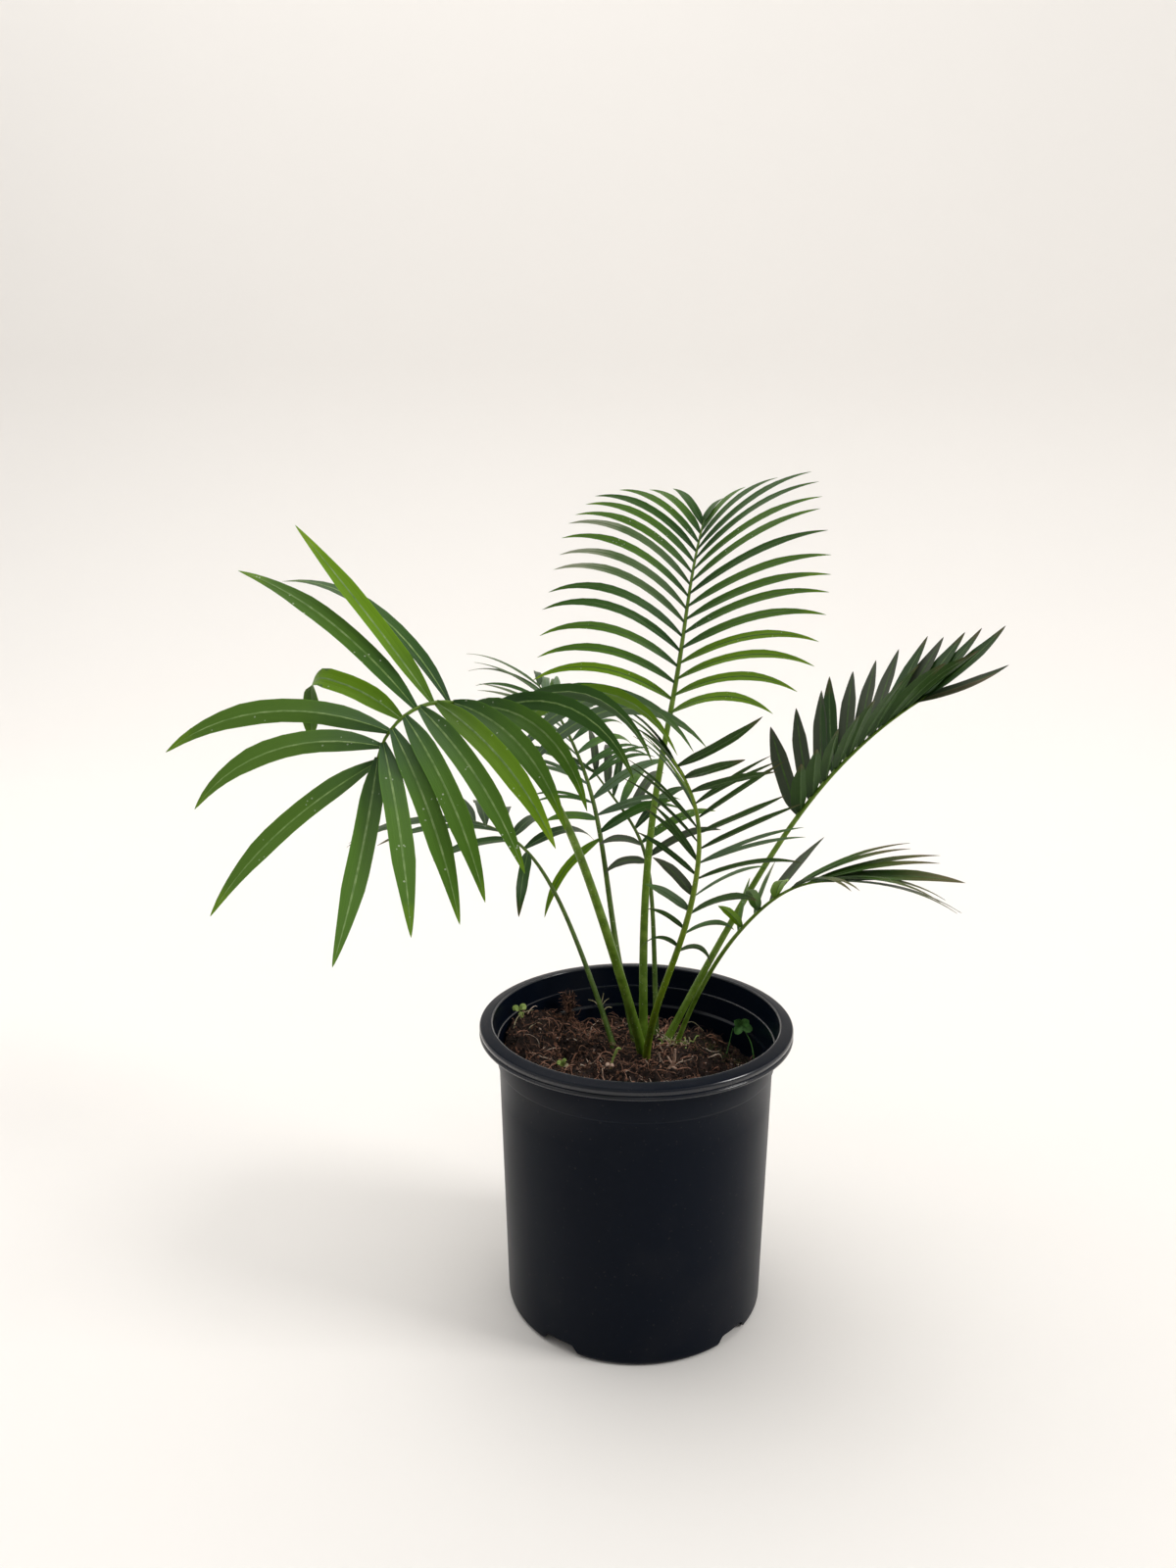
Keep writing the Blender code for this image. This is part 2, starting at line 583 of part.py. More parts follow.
def grow(fronds, ground):
    """Works out every leaflet, and leaves out one that finds no room between the other fronds."""
    spines = {frond.name: spine(frond) for frond in fronds}
    taken = {}
    for frond in fronds:
        bm = tube(frond, spines[frond.name])
        taken[frond.name] = [tree_of(bm)]
        bm.free()
    leaves = {frond.name: [] for frond in fronds}
    for frond in fronds:
        dice = random.Random(frond.seed)
        others = list(ground)
        for name, trees in taken.items():
            if name != frond.name:
                others += trees
        for number in range(frond.pairs):
            for side in (-1, 1):
                draws = [dice.uniform(-frond.jitter, frond.jitter) for _ in range(6)]
                if (side, number) in frond.missing:
                    continue
                for turn in LEAFLET_TURNS:
                    leaf = leaflet(frond, spines[frond.name], side, number, draws, turn)
                    bm = leaflet_solid(leaf, CLEARANCE)
                    tree = tree_of(bm)
                    bm.free()
                    if not any(tree.overlap(other) for other in others):
                        leaves[frond.name].append(leaf)
                        taken[frond.name].append(tree)
                        break
    return spines, leaves


def keep_largest(bm):
    """Drops loose scraps, so that one closed body is left."""
    unseen = set(bm.verts)
    groups = []
    while unseen:
        stack = [unseen.pop()]
        group = []
        while stack:
            vert = stack.pop()
            group.append(vert)
            for edge in vert.link_edges:
                other = edge.other_vert(vert)
                if other in unseen:
                    unseen.remove(other)
                    stack.append(other)
        groups.append(group)
    groups.sort(key=len)
    for group in groups[:-1]:
        bmesh.ops.delete(bm, geom=group, context='VERTS')


def fuse(obj, parts, solver):
    """The rib with every leaflet joined on, as one closed body, or None where edges stay open."""
    union = obj.modifiers.new("join", 'BOOLEAN')
    union.operation = 'UNION'
    union.operand_type = 'COLLECTION'
    union.collection = parts
    union.solver = solver
    joined = bpy.data.meshes.new_from_object(obj.evaluated_get(bpy.context.evaluated_depsgraph_get()))
    obj.modifiers.remove(union)
    bm = bmesh.new()
    bm.from_mesh(joined)
    bpy.data.meshes.remove(joined)
    bmesh.ops.dissolve_limit(bm, angle_limit=FLATNESS, verts=bm.verts, edges=bm.edges)
    bmesh.ops.triangulate(bm, faces=bm.faces)
    keep_largest(bm)
    if all(edge.is_manifold for edge in bm.edges):
        return bm
    bm.free()
    return None


def make_frond(frond, stations, leaves, material):
    """One frond: its stalk and rib, with every leaflet fused on."""
    obj = make_object(frond.name, tube(frond, stations))
    parts = bpy.data.collections.new(frond.name + "_leaflets")
    bpy.context.scene.collection.children.link(parts)
    for number, leaf in enumerate(leaves):
        make_object(f"{frond.name}_leaflet_{number}", leaflet_solid(leaf), parts)
    bm = fuse(obj, parts, 'EXACT') or fuse(obj, parts, 'MANIFOLD')
    for part in list(parts.objects):
        bpy.data.objects.remove(part, do_unlink=True)
    bpy.data.collections.remove(parts)
    bm.to_mesh(obj.data)
    bm.free()
    obj.data.materials.append(material)
    return obj


def main():
    """Builds the pot, the soil and the fronds."""
    clear_scene()
    make_pot(finish("pot_plastic", POT_FINISH))
    make_soil(finish("soil", SOIL_FINISH))
    ground = []
    for name in ("pot", "soil"):
        bm = bmesh.new()
        bm.from_mesh(bpy.data.objects[name].data)
        ground.append(tree_of(bm))
        bm.free()
    spines, leaves = grow(FRONDS, ground)
    for frond in FRONDS:
        make_frond(frond, spines[frond.name], leaves[frond.name], finish(frond.name, FROND_FINISH))


main()
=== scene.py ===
"""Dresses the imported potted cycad: its pot, soil, seedlings and eight feather fronds.

Metres throughout, in the frame's axes: the origin is the middle of the pot's flat underside, +Z is
up and -Y is the side that the photograph shows.
"""

import logging
from dataclasses import dataclass, field, replace
from enum import Enum
from math import cos, exp, hypot, pi, radians, sin, sqrt
from random import Random
from typing import ClassVar, NamedTuple

import bmesh
import bpy
from bmesh.types import BMesh
from bpy.types import ID, Material, Node, NodeSocket, NodeTree, Object, bpy_prop_collection
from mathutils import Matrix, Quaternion, Vector, noise
from mathutils.bvhtree import BVHTree


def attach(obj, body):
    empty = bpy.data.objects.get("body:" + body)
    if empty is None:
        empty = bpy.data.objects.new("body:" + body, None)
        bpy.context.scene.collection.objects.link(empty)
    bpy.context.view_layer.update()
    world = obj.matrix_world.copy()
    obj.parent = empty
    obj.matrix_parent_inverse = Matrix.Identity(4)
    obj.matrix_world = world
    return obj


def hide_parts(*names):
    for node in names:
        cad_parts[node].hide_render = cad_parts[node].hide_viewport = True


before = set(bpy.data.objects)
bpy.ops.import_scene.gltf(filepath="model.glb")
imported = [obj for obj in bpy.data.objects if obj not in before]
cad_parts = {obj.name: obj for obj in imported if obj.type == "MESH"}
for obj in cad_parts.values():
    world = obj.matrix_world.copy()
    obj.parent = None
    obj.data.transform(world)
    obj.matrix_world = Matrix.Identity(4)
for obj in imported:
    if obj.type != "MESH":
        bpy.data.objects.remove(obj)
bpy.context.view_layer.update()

LOG = logging.getLogger("cycad")
BODY = "root"
UP = Vector((0.0, 0.0, 1.0))
MM = 0.001
TURN = 6.28  # radians of the random headings, just short of a full turn
Colour = tuple[float, float, float]
Place = tuple[float, float, float]
Run = tuple[float, ...]


class Graph:
    """A node tree with a short way to add nodes and join them."""

    def __init__(self, tree: NodeTree) -> None:
        """Empties a tree to build in."""
        self.tree = tree
        tree.nodes.clear()

    @classmethod
    def geometry(cls, name: str, inputs: dict[str, str]) -> tuple["Graph", object]:
        """Starts a Geometry Nodes tree.

        Args:
            name: the tree's name.
            inputs: each further input's kind by its name.

        Returns:
            The graph and the outputs of its input node.
        """
        g = cls(bpy.data.node_groups.new(name, "GeometryNodeTree"))
        face = g.tree.interface
        for label, kind in {"Geometry": "Geometry", **inputs}.items():
            face.new_socket(label, in_out="INPUT", socket_type=f"NodeSocket{kind}")
        face.new_socket("Geometry", in_out="OUTPUT", socket_type="NodeSocketGeometry")
        return g, g.add("NodeGroupInput").outputs

    def add(self, kind: str, inputs: dict | None = None, **settings: object) -> Node:
        """Adds one node.

        Args:
            kind: the node's type name.
            inputs: a value or socket for each input, by name or number.
            settings: the node's own properties.

        Returns:
            The new node.
        """
        node = self.tree.nodes.new(kind)
        for name, value in settings.items():
            setattr(node, name, value)
        for name, value in (inputs or {}).items():
            socket = self.pick(node.inputs, name)
            if isinstance(value, NodeSocket):
                self.tree.links.new(value, socket)
            else:
                socket.default_value = value
        return node

    def out(self, kind: str, inputs: dict | None = None, output: str | int = "",
            **settings: object) -> NodeSocket:
        """Adds one node and gives one of its outputs."""
        return self.pick(self.add(kind, inputs, **settings).outputs, output)

    @staticmethod
    def pick(sockets: bpy_prop_collection, name: str | int) -> NodeSocket:
        """Finds a socket by its name or number, or the first in use."""
        return sockets[name] if isinstance(name, int) else next(
            s for s in sockets if s.enabled and name in ("", s.name))

    def maths(self, operation: str, *values: object) -> NodeSocket:
        """Joins numbers by one operation."""
        return self.out("ShaderNodeMath", dict(enumerate(values)), operation=operation)

    def scaled(self, vector: object, length: object) -> NodeSocket:
        """Multiplies a vector by a number."""
        return self.out("ShaderNodeVectorMath", {0: vector, "Scale": length}, operation="SCALE")

    def added(self, first: object, second: object) -> NodeSocket:
        """Adds two vectors."""
        return self.out("ShaderNodeVectorMath", {0: first, 1: second}, operation="ADD")

    def drawn(self, low: object, high: object, seed: int = 0) -> NodeSocket:
        """Draws a random number or vector for each element."""
        return self.out("FunctionNodeRandomValue", {"Min": low, "Max": high, "Seed": seed},
                        data_type="FLOAT_VECTOR" if isinstance(low, tuple) else "FLOAT")

    def read(self, name: str, kind: str = "FLOAT") -> NodeSocket:
        """Reads a named attribute of the given data type."""
        return self.out(
            "GeometryNodeInputNamedAttribute", {"Name": name}, output="Attribute", data_type=kind)

    def height(self) -> NodeSocket:
        """Reads each element's height."""
        place = self.out("GeometryNodeInputPosition")
        return self.add("ShaderNodeSeparateXYZ", {"Vector": place}).outputs["Z"]

    def dressed(self, mesh: object, material: object, where: object = True) -> NodeSocket:
        """Gives faces a material."""
        return self.out(
            "GeometryNodeSetMaterial", {"Geometry": mesh, "Selection": where, "Material": material})

    def blend(self, share: object, low: object, high: object, mode: str = "MIX") -> NodeSocket:
        """Mixes a share of the second colour into the first."""
        low, high = ((*c, 1.0) if isinstance(c, tuple) and len(c) == 3 else c for c in (low, high))
        return self.out("ShaderNodeMix", {0: share, 6: low, 7: high}, 2, data_type="RGBA", blend_type=mode)

    def ramp(self, share: NodeSocket, stops: tuple[tuple[float, Colour], ...]) -> NodeSocket:
        """Runs a number through a row of colours.

        Args:
            share: the number, from 0 to 1.
            stops: places from 0 to 1, each with its colour.

        Returns:
            The colour's socket.
        """
        node = self.add("ShaderNodeValToRGB", {"Fac": share})
        elements = node.color_ramp.elements
        while len(elements) < len(stops):
            elements.new(0.5)
        for element, (place, colour) in zip(elements, stops):
            element.position = place
            element.color = (*colour, 1.0)
        return node.outputs["Color"]

    def grain(self, vector: NodeSocket, scale: float, detail: float = 2.0,
              roughness: float = 0.5) -> NodeSocket:
        """Reads noise from 0 to 1 at a place: its scale, finer layers and their strength."""
        inputs = {"Vector": vector, "Scale": scale, "Detail": detail, "Roughness": roughness}
        return self.out("ShaderNodeTexNoise", inputs, "Fac")


class Surface:
    """A node material around one Principled shader."""

    def __init__(self, name: str) -> None:
        """Starts a material.

        Args:
            name: the material's name.
        """
        self.material = bpy.data.materials.new(name)
        self.material.use_nodes = True
        self.graph = Graph(self.material.node_tree)
        self.shader = self.graph.add("ShaderNodeBsdfPrincipled")
        self.graph.add("ShaderNodeOutputMaterial", {"Surface": self.shader.outputs["BSDF"]})
        self.place = self.graph.out("ShaderNodeTexCoord", output="Object")

    def set(self, name: str, value: object) -> None:
        """Sets or feeds one of the shader's inputs.

        Args:
            name: the input's name.
            value: a number, a colour or a socket.
        """
        socket = self.shader.inputs[name]
        if isinstance(value, NodeSocket):
            self.graph.tree.links.new(value, socket)
        else:
            socket.default_value = (*value, 1.0) if isinstance(value, tuple) else value

    def bump(self, height: NodeSocket, depth: float, strength: float = 1.0) -> None:
        """Gives the surface a fine relief."""
        self.set("Normal", self.graph.out(
            "ShaderNodeBump", {"Height": height, "Distance": depth, "Strength": strength}))


@dataclass(frozen=True)
class LeafFinish:
    """One side of a leaflet: its colours run from the root to the tip over a map of the blade."""

    name: str
    root: Colour
    middle: Colour
    tip: Colour
    roughness: float = 0.36
    veins: float = 0.22  # how far fine lines change its colour
    flecks: float = 0.0  # strength of the pale specks
    tip_from: float = 0.86  # where the middle colour gives way

    def make(self) -> Material:
        """Builds the node material.

        Returns:
            The material.
        """
        surface = Surface(self.name)
        g = surface.graph
        uv = g.out("ShaderNodeUVMap", uv_map="UVMap")
        parts = g.add("ShaderNodeSeparateXYZ", {"Vector": uv})
        across, along = parts.outputs["X"], parts.outputs["Y"]
        cloud = g.grain(surface.place, 55.0, 3.0)
        drift = g.maths("MULTIPLY_ADD", cloud, 0.34, g.maths("ADD", along, -0.17))
        colour = g.ramp(drift, (
            (0.02, self.root), (0.42, self.middle), (self.tip_from, self.middle), (1.0, self.tip)))
        lines = g.out("ShaderNodeMapping", {"Vector": uv, "Scale": (46.0, 1.1, 1.0)})
        streak = g.grain(g.added(lines, g.scaled(surface.place, 9.0)), 1.0, 2.0, 0.6)
        shade = g.maths("MULTIPLY_ADD", streak, 2.0 * self.veins, 1.0 - self.veins)
        colour = g.blend(1.0, colour, shade, "MULTIPLY")
        # a thin painted highlight lightens the blade towards its margins
        from_middle = g.maths("ABSOLUTE", g.maths("SUBTRACT", across, 0.5))
        edge = g.out("ShaderNodeMapRange", {
            "Value": from_middle, "From Min": 0.44, "From Max": 0.5, "To Min": 0.0, "To Max": 0.5})
        colour = g.blend(edge, colour, tuple(1.7 * c for c in self.middle))
        if self.flecks:
            dots = g.out(
                "ShaderNodeTexVoronoi", {"Vector": surface.place, "Scale": 420.0}, output="Distance")
            rare = g.grain(surface.place, 90.0, 1.0)
            fleck = g.maths(
                "MULTIPLY", g.maths("LESS_THAN", dots, 0.16), g.maths("GREATER_THAN", rare, 0.6))
            colour = g.blend(g.maths("MULTIPLY", fleck, self.flecks), colour, (0.62, 0.68, 0.52))
        surface.set("Base Color", colour)
        surface.set("Roughness", g.maths("MULTIPLY_ADD", cloud, 0.22, self.roughness - 0.11))
        surface.set("Specular IOR Level", 0.14)
        surface.bump(streak, 0.00012, 0.7)
        return surface.material


@dataclass(frozen=True)
class GrainFinish:
    """A material whose colour drifts between three tones, with a relief of the same grain."""

    name: str
    dark: Colour
    middle: Colour
    light: Colour
    scale: float  # of the drift, higher is finer
    roughness: float
    relief: float  # metres
    detail: float = 5.0
    specular: float = 0.2

    def make(self) -> Material:
        """Builds the node material.

        Returns:
            The material.
        """
        surface = Surface(self.name)
        g = surface.graph
        cloud = g.grain(surface.place, self.scale, self.detail, 0.62)
        surface.set(
            "Base Color", g.ramp(cloud, ((0.3, self.dark), (0.5, self.middle), (0.72, self.light))))
        surface.set("Roughness", g.maths("MULTIPLY_ADD", cloud, 0.2, self.roughness - 0.1))
        surface.set("Specular IOR Level", self.specular)
        surface.bump(cloud, self.relief)
        return surface.material


@dataclass(frozen=True)
class PotFinish:
    """Blue-black moulded plastic with faint moulding grain, rubs and dust."""

    name: str = "pot_plastic_moulded"
    colour: Colour = (0.001, 0.0034, 0.0092)
    dust: Colour = (0.06, 0.052, 0.044)
    roughness: float = 0.36
    coat: float = 0.0  # shine on top, as rubbed edges have
    specular: float = 0.08

    def make(self) -> Material:
        """Builds the node material.

        Returns:
            The material.
        """
        surface = Surface(self.name)
        g = surface.graph
        cloud = g.grain(surface.place, 14.0, 4.0)
        skin = g.grain(surface.place, 1500.0, 2.0)
        flow = g.grain(
            g.out("ShaderNodeMapping", {"Vector": surface.place, "Scale": (90.0, 90.0, 6.0)}), 1.0, 2.0)
        specks = g.maths("GREATER_THAN", g.grain(surface.place, 620.0, 1.0), 0.735)
        rubs = g.out("ShaderNodeMapRange", {
            "Value": cloud, "From Min": 0.52, "From Max": 0.75, "To Min": 0.0, "To Max": 0.1})
        colour = g.blend(rubs, self.colour, self.dust)
        colour = g.blend(g.maths("MULTIPLY", specks, 0.22), colour, self.dust)
        surface.set("Base Color", colour)
        surface.set("Roughness", g.maths("MULTIPLY_ADD", cloud, 0.16, self.roughness - 0.08))
        surface.set("Specular IOR Level", self.specular)
        surface.set("Coat Weight", self.coat)
        surface.set("Coat Roughness", 0.1)
        height = g.maths("MULTIPLY_ADD", flow, 0.5, g.maths("MULTIPLY", skin, 0.5))
        surface.bump(height, 0.00006, 0.6)
        return surface.material


@dataclass(frozen=True)
class StudioFinish:
    """The plain pale floor and backdrop."""

    name: str = "studio_paper"
    colour: Colour = (0.86, 0.838, 0.812)
    roughness: float = 0.9

    def make(self) -> Material:
        """Builds the node material.

        Returns:
            The material.
        """
        surface = Surface(self.name)
        cloud = surface.graph.grain(surface.place, 2.0, 2.0)
        light = tuple(c * 1.015 for c in self.colour)
        surface.set("Base Color", surface.graph.blend(cloud, self.colour, light))
        surface.set("Roughness", self.roughness)
        surface.set("Specular IOR Level", 0.1)
        return surface.material


class Tone(Enum):
    """The looks that a leaflet's upper side can have."""

    FRESH = LeafFinish(
        "leaf_fresh", (0.07, 0.15, 0.012), (0.12, 0.24, 0.006), (0.2, 0.33, 0.012), flecks=0.25)
    GREEN = LeafFinish(
        "leaf_green", (0.03, 0.08, 0.022), (0.064, 0.15, 0.012), (0.135, 0.26, 0.008), flecks=0.45)
    DEEP = LeafFinish("leaf_deep", (0.018, 0.054, 0.014), (0.032, 0.09, 0.011), (0.07, 0.145, 0.01))
    # dark olive green deepened with painted shade, for leaflets that face away from the light, with brown
    # tips
    DARK = LeafFinish(
        "leaf_dark", (0.01, 0.034, 0.006), (0.016, 0.05, 0.006), (0.085, 0.06, 0.024), tip_from=0.82)
    BRONZE = LeafFinish(
        "leaf_bronze", (0.026, 0.07, 0.007), (0.034, 0.088, 0.008), (0.12, 0.078, 0.03), tip_from=0.5)
    SLATE = LeafFinish(
        "leaf_slate", (0.034, 0.052, 0.026), (0.05, 0.064, 0.038), (0.08, 0.08, 0.06), roughness=0.5)
    # leaflet green paled and greyed with a painted sheen, for leaflets that catch the light's reflection
    SHEEN = LeafFinish(
        "leaf_sheen", (0.06, 0.105, 0.06), (0.095, 0.155, 0.078), (0.09, 0.2, 0.04), roughness=0.42,
        tip_from=0.7)
    FADED = LeafFinish(
        "leaf_faded", (0.05, 0.1, 0.034), (0.085, 0.14, 0.05), (0.4, 0.41, 0.31), roughness=0.45,
        tip_from=0.62)
    DRY = LeafFinish(
        "leaf_dry", (0.055, 0.07, 0.03), (0.095, 0.085, 0.048), (0.17, 0.125, 0.08), roughness=0.55,
        tip_from=0.5)


UNDER_GREEN = LeafFinish(
    "leaf_under_green", (0.042, 0.096, 0.028), (0.068, 0.146, 0.016), (0.13, 0.24, 0.012),
    roughness=0.46, veins=0.16, flecks=0.3)
UNDER_DARK = LeafFinish(
    "leaf_under_dark", (0.014, 0.038, 0.006), (0.022, 0.058, 0.006), (0.085, 0.062, 0.026),
    roughness=0.48, veins=0.18, tip_from=0.82)
UNDER_GREY = LeafFinish(
    "leaf_under_grey", (0.046, 0.078, 0.032), (0.066, 0.1, 0.045), (0.12, 0.14, 0.08), roughness=0.5,
    veins=0.16)
MIDRIB_PALE = GrainFinish(
    "leaf_midrib_pale", (0.09, 0.175, 0.035), (0.14, 0.24, 0.06), (0.23, 0.33, 0.12), 240.0, 0.42,
    0.00003, 2.0)
MIDRIB_DULL = GrainFinish(
    "leaf_midrib_dull", (0.034, 0.076, 0.016), (0.05, 0.105, 0.022), (0.075, 0.14, 0.034), 240.0, 0.45,
    0.00003, 2.0)
STALK_GREEN = GrainFinish(
    "stalk_green", (0.062, 0.118, 0.008), (0.098, 0.178, 0.014), (0.16, 0.25, 0.04), 130.0, 0.4, 0.0001,
    4.0)
STALK_DARK = GrainFinish(
    "stalk_dark", (0.04, 0.076, 0.008), (0.062, 0.112, 0.014), (0.1, 0.16, 0.028), 130.0, 0.42, 0.0001,
    4.0)
STALK_YELLOW = GrainFinish(
    "stalk_yellow", (0.07, 0.13, 0.005), (0.11, 0.185, 0.007), (0.165, 0.235, 0.016), 130.0, 0.4,
    0.0001, 4.0)
STALK_SPECK = GrainFinish(
    "stalk_speck", (0.2, 0.27, 0.12), (0.29, 0.36, 0.19), (0.4, 0.45, 0.29), 900.0, 0.6, 0.00003, 1.0)
SOIL_BASE = GrainFinish(
    "soil_crumb_base", (0.0035, 0.0024, 0.002), (0.016, 0.0095, 0.0075), (0.062, 0.034, 0.026), 260.0,
    0.95, 0.0008, 8.0, 0.2)
SOIL_CRUMBS = (
    *(GrainFinish(f"soil_crumb_{name}", *tones, 500.0, 0.95, 0.0003) for name, *tones in (
        ("black", (0.004, 0.003, 0.0025), (0.011, 0.007, 0.0055), (0.026, 0.015, 0.012)),
        ("brown", (0.03, 0.016, 0.011), (0.07, 0.037, 0.025), (0.13, 0.072, 0.05)),
        ("red", (0.085, 0.038, 0.022), (0.165, 0.08, 0.05), (0.29, 0.155, 0.105)))),
    GrainFinish("soil_crumb_pink", (0.2, 0.135, 0.11), (0.36, 0.265, 0.22), (0.56, 0.46, 0.41), 500.0,
                0.9, 0.0002, 4.0),
)
FIBRES = tuple(
    GrainFinish(f"fibre_{name}", *tones, 300.0, roughness, 0.00005, 3.0, 0.25)
    for name, roughness, *tones in (
        ("black", 0.9, (0.008, 0.005, 0.004), (0.018, 0.011, 0.009), (0.04, 0.024, 0.018)),
        ("brown", 0.85, (0.07, 0.035, 0.022), (0.14, 0.073, 0.048), (0.26, 0.15, 0.105)),
        ("red", 0.85, (0.15, 0.065, 0.04), (0.29, 0.145, 0.095), (0.48, 0.28, 0.2)),
        ("straw", 0.8, (0.3, 0.21, 0.155), (0.48, 0.37, 0.29), (0.68, 0.58, 0.49)),
        ("moss", 0.85, (0.018, 0.028, 0.007), (0.04, 0.062, 0.014), (0.085, 0.115, 0.028))))
SPROUT_STEM = GrainFinish(
    "sprout_stem", (0.19, 0.16, 0.09), (0.3, 0.27, 0.16), (0.42, 0.4, 0.27), 300.0, 0.5, 0.00003, 2.0)
SPROUT_GREEN = GrainFinish(
    "sprout_green", (0.15, 0.23, 0.045), (0.26, 0.36, 0.09), (0.38, 0.47, 0.17), 300.0, 0.5, 0.00003,
    2.0)
CLOVER_GREEN = GrainFinish(
    "clover_green", (0.05, 0.15, 0.035), (0.085, 0.23, 0.055), (0.13, 0.3, 0.08), 260.0, 0.45, 0.00005,
    3.0)
DRIED = GrainFinish(
    "sprout_dried", (0.14, 0.12, 0.06), (0.26, 0.23, 0.13), (0.42, 0.38, 0.25), 300.0, 0.7, 0.00003,
    2.0)
ROOTLET_PINK = GrainFinish(
    "rootlet_pink", (0.22, 0.13, 0.09), (0.44, 0.29, 0.22), (0.66, 0.5, 0.41), 300.0, 0.7, 0.00005, 3.0)


def circle(count: int) -> list[tuple[float, float]]:
    """Gives the X and Y of evenly spaced points on a circle of radius 1."""
    angles = (2.0 * pi * k / count for k in range(count))
    return [(cos(a), sin(a)) for a in angles]


class Station(NamedTuple):
    """A point of a rail, with the frame of the cross-section there."""

    centre: Vector
    across: Vector  # the direction of the section's width
    face: Vector  # and of its thickness
    half: float  # half the section's width
    thick: float  # its thickness
    fold: float  # how far its sides rise to a V
    along: float  # 0 at the root to 1 at the tip


@dataclass
class Rail:
    """A path that a cross-section is swept along."""

    tone: float = 0  # which of the piece's first materials it takes
    stations: list[Station] = field(default_factory=list)

    def add(self, *station: object) -> None:
        """Adds a station, given its fields in order."""
        self.stations.append(Station(*station))


class Section(Enum):
    """Cross-sections as (share of the half width, share of the thickness), anticlockwise."""

    BLADE = (
        (-1.0, 0.0), (-0.55, -0.3), (-0.07, -0.38), (0.0, -0.85), (0.07, -0.38), (0.55, -0.3),
        (1.0, 0.0), (0.6, 0.52), (0.09, 0.48), (0.04, 0.9), (-0.04, 0.9), (-0.09, 0.48), (-0.6, 0.52))
    STALK = tuple((x, y * (0.78 if y > 0.6 else 1.0)) for x, y in circle(14))
    THREAD = tuple(circle(4))
    SHEET = ((-1.0, 0.0), (0.0, -0.5), (1.0, 0.0), (0.5, 0.4), (0.0, 0.5), (-0.5, 0.4))

    def guide(self) -> Object:
        """Makes the closed outline that the sweep reads.

        Returns:
            An object that isn't in the scene.
        """
        count = len(self.value)
        mesh = bpy.data.meshes.new(f"section_{self.name.lower()}")
        mesh.from_pydata([(0.001 * x, 0.001 * y, 0.0) for x, y in self.value],
                         [(k, (k + 1) % count) for k in range(count)], [])
        for name, part in (("section_x", 0), ("section_y", 1)):
            store = mesh.attributes.new(name, "FLOAT", "POINT")
            store.data.foreach_set("value", [point[part] for point in self.value])
        return bpy.data.objects.new(mesh.name, mesh)


